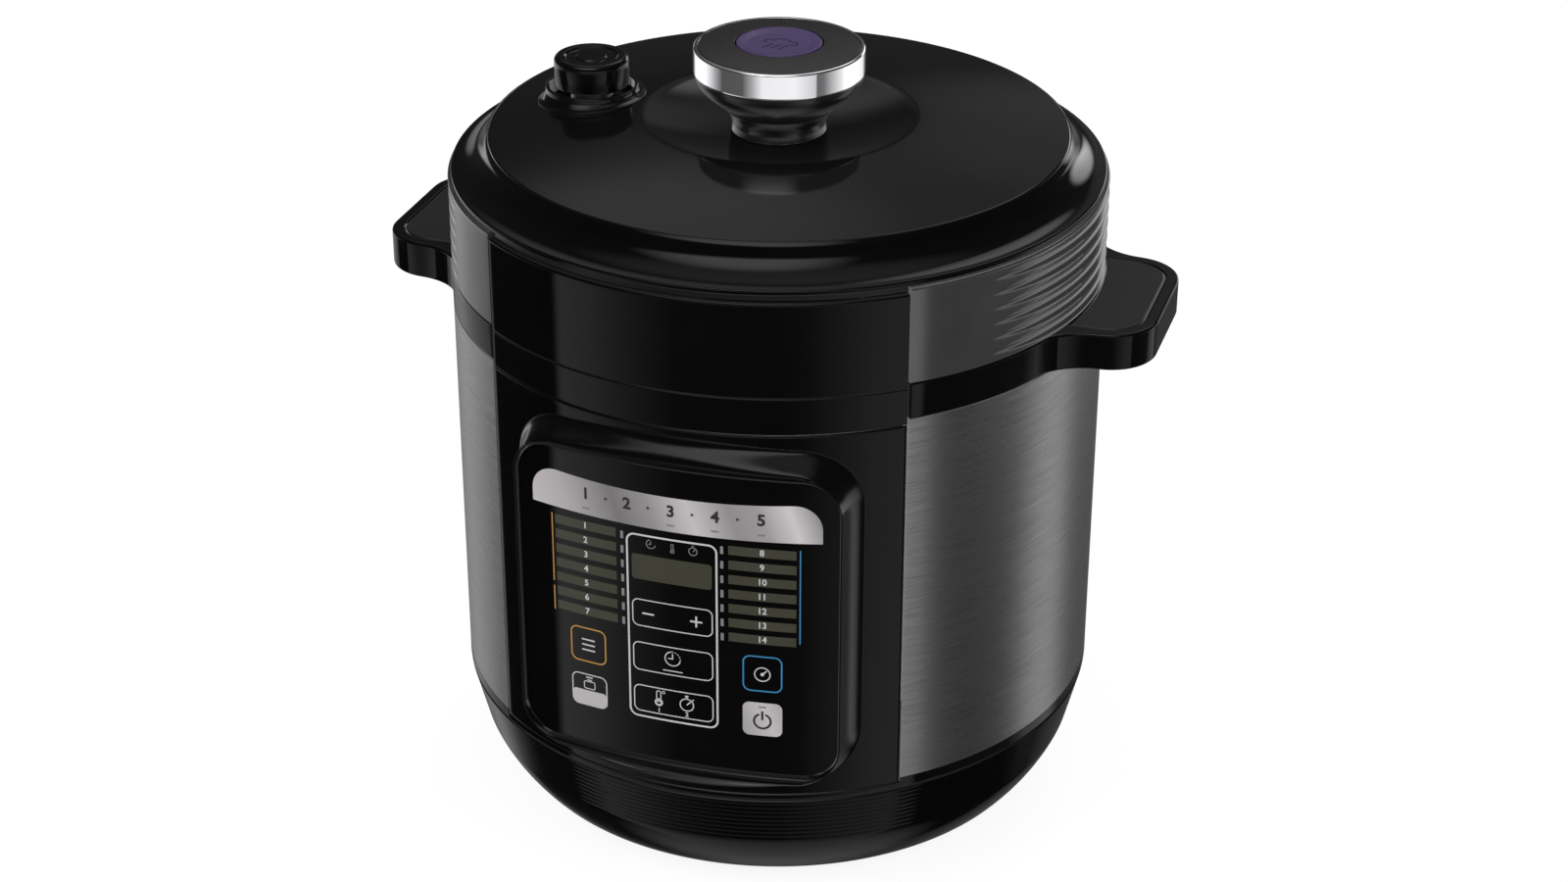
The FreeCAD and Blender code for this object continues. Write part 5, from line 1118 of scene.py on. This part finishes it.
def baseLine(top):
    line = [(base["opening"], base["floor"]), (base["opening"], base["foot"]), (base["radius"] - 0.8, base["foot"])]
    heights = [6.4, 7.2, 8.5, 10.5, 13.0, 16.0, 19.0, base["inletLow"], 25.0, 28.0]
    line += [(baseTaper(z), z) for z in heights]
    rise = (base["ribTop"] - base["ribFoot"]) / base["ribs"]
    spread = (base["lipRadius"] - base["ribRadius"]) / base["ribs"]
    rib = []
    for i in range(base["ribs"]):
        for k in range(8):
            share = k / 8
            sink = base["ribDepth"] * (0.5 + 0.5 * math.cos(math.tau * share))
            rib.append((base["ribRadius"] + spread * (i + share) - sink, base["ribFoot"] + rise * (i + share)))
    cut = min(range(len(rib)), key=lambda k: abs(rib[k][1] - base["inletHigh"]))
    rib[cut] = (rib[cut][0], base["inletHigh"])
    line += rib
    lip, low = base["lipRadius"], base["ribTop"]
    line += [(lip - 0.4, low - 0.05), (lip - base["grooveDepth"], low),
             (lip - base["grooveDepth"], low + base["groove"]),
             (lip - 0.3, low + base["groove"]), (lip, low + base["groove"] + 0.3), (lip, top - 0.3), (lip - 0.3, top)]
    line += [(lip - base["wall"], top), (lip - base["wall"], low), (base["ribRadius"] - base["wall"], base["ribFoot"]),
             (base["radius"] - base["wall"], base["floor"])]
    return line


def baseShell():
    # angle 0 at the front; the lip drops between the seams and the back is open for the inlet
    seam, inlet = collar["seam"], base["inletHalf"]
    angles = [-seam + 0.02 + 2 * (seam - 0.02) * k / 56 for k in range(57)]
    angles += [seam + (180 - inlet - seam) * k / 96 for k in range(97)]
    angles += [180 - inlet + 2 * inlet * k / 8 for k in range(1, 9)]
    angles += [180 + inlet + (180 - inlet - seam) * k / 96 for k in range(1, 97)]
    verts = []
    for angle in angles:
        at = (angle + 180) % 360 - 180
        line = baseLine(base["frontTop"] if abs(at) < seam - 0.01 else base["lipTop"])
        a = math.radians(angle)
        verts += [(r * math.sin(a), -r * math.cos(a), z) for r, z in line]
    count = len(line)
    faces, ends = [], angles[1:] + [angles[0] + 360]
    for spot, face in enumerate(quads(len(angles), count)):
        i, k = divmod(spot, count)
        middle = (angles[i] + ends[i]) / 2
        height = (line[k][1] + line[(k + 1) % count][1]) / 2
        behind = abs((middle % 360) - 180) < inlet and base["inletLow"] < height < base["inletHigh"]
        if not behind or k >= count - 4:
            faces.append(face)
    made = meshObject("base_shell_skin", verts, faces)
    return dress(made, 38, "base", finishes["gloss_black"], "gloss_black", "base_shell")


baseShell()
print("base made")


# softened copies of the CAD solids that carry their own shape
softEdges = {"handle_ring": 1.2, "left_handle_cap": 0.8, "right_handle_cap": 0.8, "condensation_cup": 0.6,
             "cup_holder": 0.3, "steel_wrap": 0.0, "inner_pot": 0.4, "outer_pot": 0.3, "top_deck": 0.5,
             "inner_lid": 0.4, "lock_ring": 0.4, "bottom_cover": 0.4, "rubber_feet": 0.6, "power_inlet": 0.4,
             "sealing_ring": 0.3, "heating_plate": 0.4, "thermal_sensor": 0.3}
slotOf = {part["node"]: part["material_slot"] for part in frame["record"]["subparts"]}
bodyOf = {name: body for body, names in frame["record"]["behaviour"]["bodies"].items() for name in names}
for name, width in softEdges.items():
    fit(softened(name, width), bodyOf[name], finishes[slotOf[name]], slotOf[name], name)
print("softened pieces:", len(softEdges))


# floor, world and lamps; cards are pairs of an angle from the camera's side and a brightness
studio = {"floorReach": 6000, "floorGlow": 0.90, "floorShade": 0.16, "roomLight": 0.55, "lampPower": 20.0,
          "nadir": 0.47,
          "horizon": 0.05, "wallLight": 0.07, "topLight": 0.68}
# heights of a ray's direction between which one zone gives way to the next
blends = {"ring": (-0.385, -0.37), "under": (-0.60, -0.72), "nadir": (-0.87, -0.99), "horizon": (-0.19, -0.12),
          "wallLight": (0.34, 0.50), "topLight": (0.75, 0.97), "overWall": (0.50, 0.62)}
lowCards = [(-180, 0.08), (-168, 0.1), (-160, 0.3), (-146, 0.6), (-121, 0.45), (-118, 0.015), (-84, 0.015), (-81, 0.93),
            (-68, 0.82), (-51, 0.38), (-36, 0.09), (0, 0.07), (9, 0.12), (34, 0.80), (50, 0.97), (52, 0.05), (95, 0.09),
            (105, 0.7), (119, 0.85), (128, 0.15), (142, 0.1), (180, 0.08)]
ringCards = [(-180, 0.1), (-160, 0.15), (-150, 1.2), (-118, 1.2), (-95, 0.4), (-82, 0.09), (-50, 0.1), (-36, 0.42),
             (-22, 0.92), (20, 1.0), (50, 0.65), (51.5, 0.14), (62, 0.18), (92, 0.9), (98, 1.2), (122, 1.2), (150, 0.9),
             (160, 0.15), (180, 0.1)]
underCards = [(-180, 0.22), (-168, 0.18), (-158, 0.05), (-146, 0.02), (-98, 0.02), (-96, 0.4), (-78, 0.4), (-60, 0.21),
              (-40, 0.08), (-22, 0.02), (0, 0.04), (33, 0.29), (65, 0.43), (67, 0.01), (138, 0.01), (144, 0.09),
              (162, 0.12), (180, 0.22)]
# angle, rise, inner and outer half width in degrees, brightness, and whether only the part over the wall's edge shows
softBoxes = [(-15, 38, 6, 40, 3.2, True), (156, 44, 5, 15, 1.8, False), (149, 4, 8, 15, 2.0, False),
             (-163, 3, 4, 9, 0.5, False), (180, 38, 6, 18, 0.15, False), (-172, 40, 4, 14, 0.3, False),
             (166, 20, 3, 12, 0.16, False)]


def pathSum(tree):
    # seen by the camera, in a reflection or through glass
    path = addNode(tree, "ShaderNodeLightPath")
    seen = mathStep(tree, "MAXIMUM", path.outputs["Is Camera Ray"], path.outputs["Is Glossy Ray"])
    return path, mathStep(tree, "MAXIMUM", seen, path.outputs["Is Transmission Ray"])


def mixed(tree, share, first, second):
    return addNode(tree, "ShaderNodeMixShader", {"Fac": share, 1: first.outputs[0], 2: second.outputs[0]})


def studioFloor():
    far = studio["floorReach"]
    made = meshObject("studio_floor", [(-far, -far, 0), (far, -far, 0), (far, far, 0), (-far, far, 0)], [(0, 1, 2, 3)])
    finish = bpy.data.materials.new("paleFloor")
    finish.use_nodes = True
    tree = finish.node_tree
    tree.nodes.clear()
    matt = addNode(tree, "ShaderNodeBsdfDiffuse", {"Color": (0.8, 0.8, 0.8, 1)})
    glow = addNode(tree, "ShaderNodeEmission", {"Strength": studio["floorGlow"]})
    shade = addNode(tree, "ShaderNodeBsdfDiffuse", {"Color": (studio["floorShade"],) * 3 + (1,)})
    bright = addNode(tree, "ShaderNodeAddShader", {0: glow.outputs[0], 1: shade.outputs[0]})
    look = mixed(tree, pathSum(tree)[1], matt, bright)
    addNode(tree, "ShaderNodeOutputMaterial", {"Surface": look.outputs[0]})
    made.data.materials.append(finish)
    made.visible_glossy = False


def cardRamp(tree, share, cards):
    return rampStops(tree, share, [((angle + 180) / 360, (value, value, value)) for angle, value in cards])


def smoothStep(tree, value, low, high):
    return addNode(tree, "ShaderNodeMapRange", {"Value": value, "From Min": low, "From Max": high},
                   interpolation_type="SMOOTHSTEP").outputs["Result"]


def studioWorld():
    # pale cards with dark gaps between them stand round the object for its reflections
    world = bpy.data.worlds.new("studioWorld")
    scene.world = world
    world.use_nodes = True
    tree = world.node_tree
    tree.nodes.clear()
    step = stepper(tree)
    way = addNode(tree, "ShaderNodeTexCoord").outputs["Generated"]
    x, y, z = split(tree, way)
    around = step("SUBTRACT", step("ARCTAN2", x, step("MULTIPLY", y, -1.0)), turn)
    share = step("FRACT", step("ADD", step("DIVIDE", around, math.tau), 0.5))
    level = cardRamp(tree, share, lowCards)
    zones = {"ring": cardRamp(tree, share, ringCards), "under": cardRamp(tree, share, underCards), **studio}
    for name in ("ring", "under", "nadir", "horizon", "wallLight", "topLight"):
        blend = smoothStep(tree, z, *blends[name])
        level = addNode(tree, "ShaderNodeMix", {0: blend, 2: level, 3: zones[name]}).outputs[0]
    overWall = smoothStep(tree, z, *blends["overWall"])
    for angle, rise, inner, outer, power, cutOff in softBoxes:
        a, b = math.radians(angle) + turn, math.radians(rise)
        aim = (math.sin(a) * math.cos(b), -math.cos(a) * math.cos(b), math.sin(b))
        near = addNode(tree, "ShaderNodeVectorMath", {0: way, 1: aim}, operation="DOT_PRODUCT").outputs["Value"]
        spot = smoothStep(tree, near, math.cos(math.radians(outer)), math.cos(math.radians(inner)))
        if cutOff:
            spot = step("MULTIPLY", spot, overWall)
        level = step("ADD", level, step("MULTIPLY", spot, power))
    cardLight, white, room = (addNode(tree, "ShaderNodeBackground", {"Color": (1, 1, 1, 1), "Strength": strength})
                              for strength in (level, 1.0, studio["roomLight"]))
    path, seen = pathSum(tree)
    glossy = mixed(tree, path.outputs["Is Glossy Ray"], white, cardLight)
    addNode(tree, "ShaderNodeOutputWorld", {"Surface": mixed(tree, seen, room, glossy).outputs[0]})
    if hasattr(world, "cycles"):
        world.cycles.sampling_method = "NONE"  # rays find the cards themselves


def softLamp(name, place, size, power):
    lamp = bpy.data.lights.new(name, "AREA")
    lamp.shape = "SQUARE"
    lamp.size = size
    lamp.energy = power
    made = linked(name, lamp)
    made.location = place
    made.rotation_mode = "QUATERNION"
    made.rotation_quaternion = (Vector((0, 0, 0.15)) - Vector(place)).to_track_quat("-Z", "Y")
    made.visible_glossy = False


# bright pieces mirror the studio and not the dark lid under them; the knob and valve still show in the lid
for made in scene.objects:
    if made.type == "MESH" and not made.name.startswith(("knob", "release_button", "valve_c")):
        made.visible_glossy = False
studioFloor()
studioWorld()
softLamp("leftLamp", (-1.3, -1.3, 1.9), 1.3, studio["lampPower"])
softLamp("rightLamp", (1.7, -0.7, 1.6), 1.3, studio["lampPower"] * 0.6)
softLamp("backLamp", (0.3, 1.7, 1.9), 1.3, studio["lampPower"] * 0.5)
scene.view_settings.view_transform = "Standard"
print("studio set")
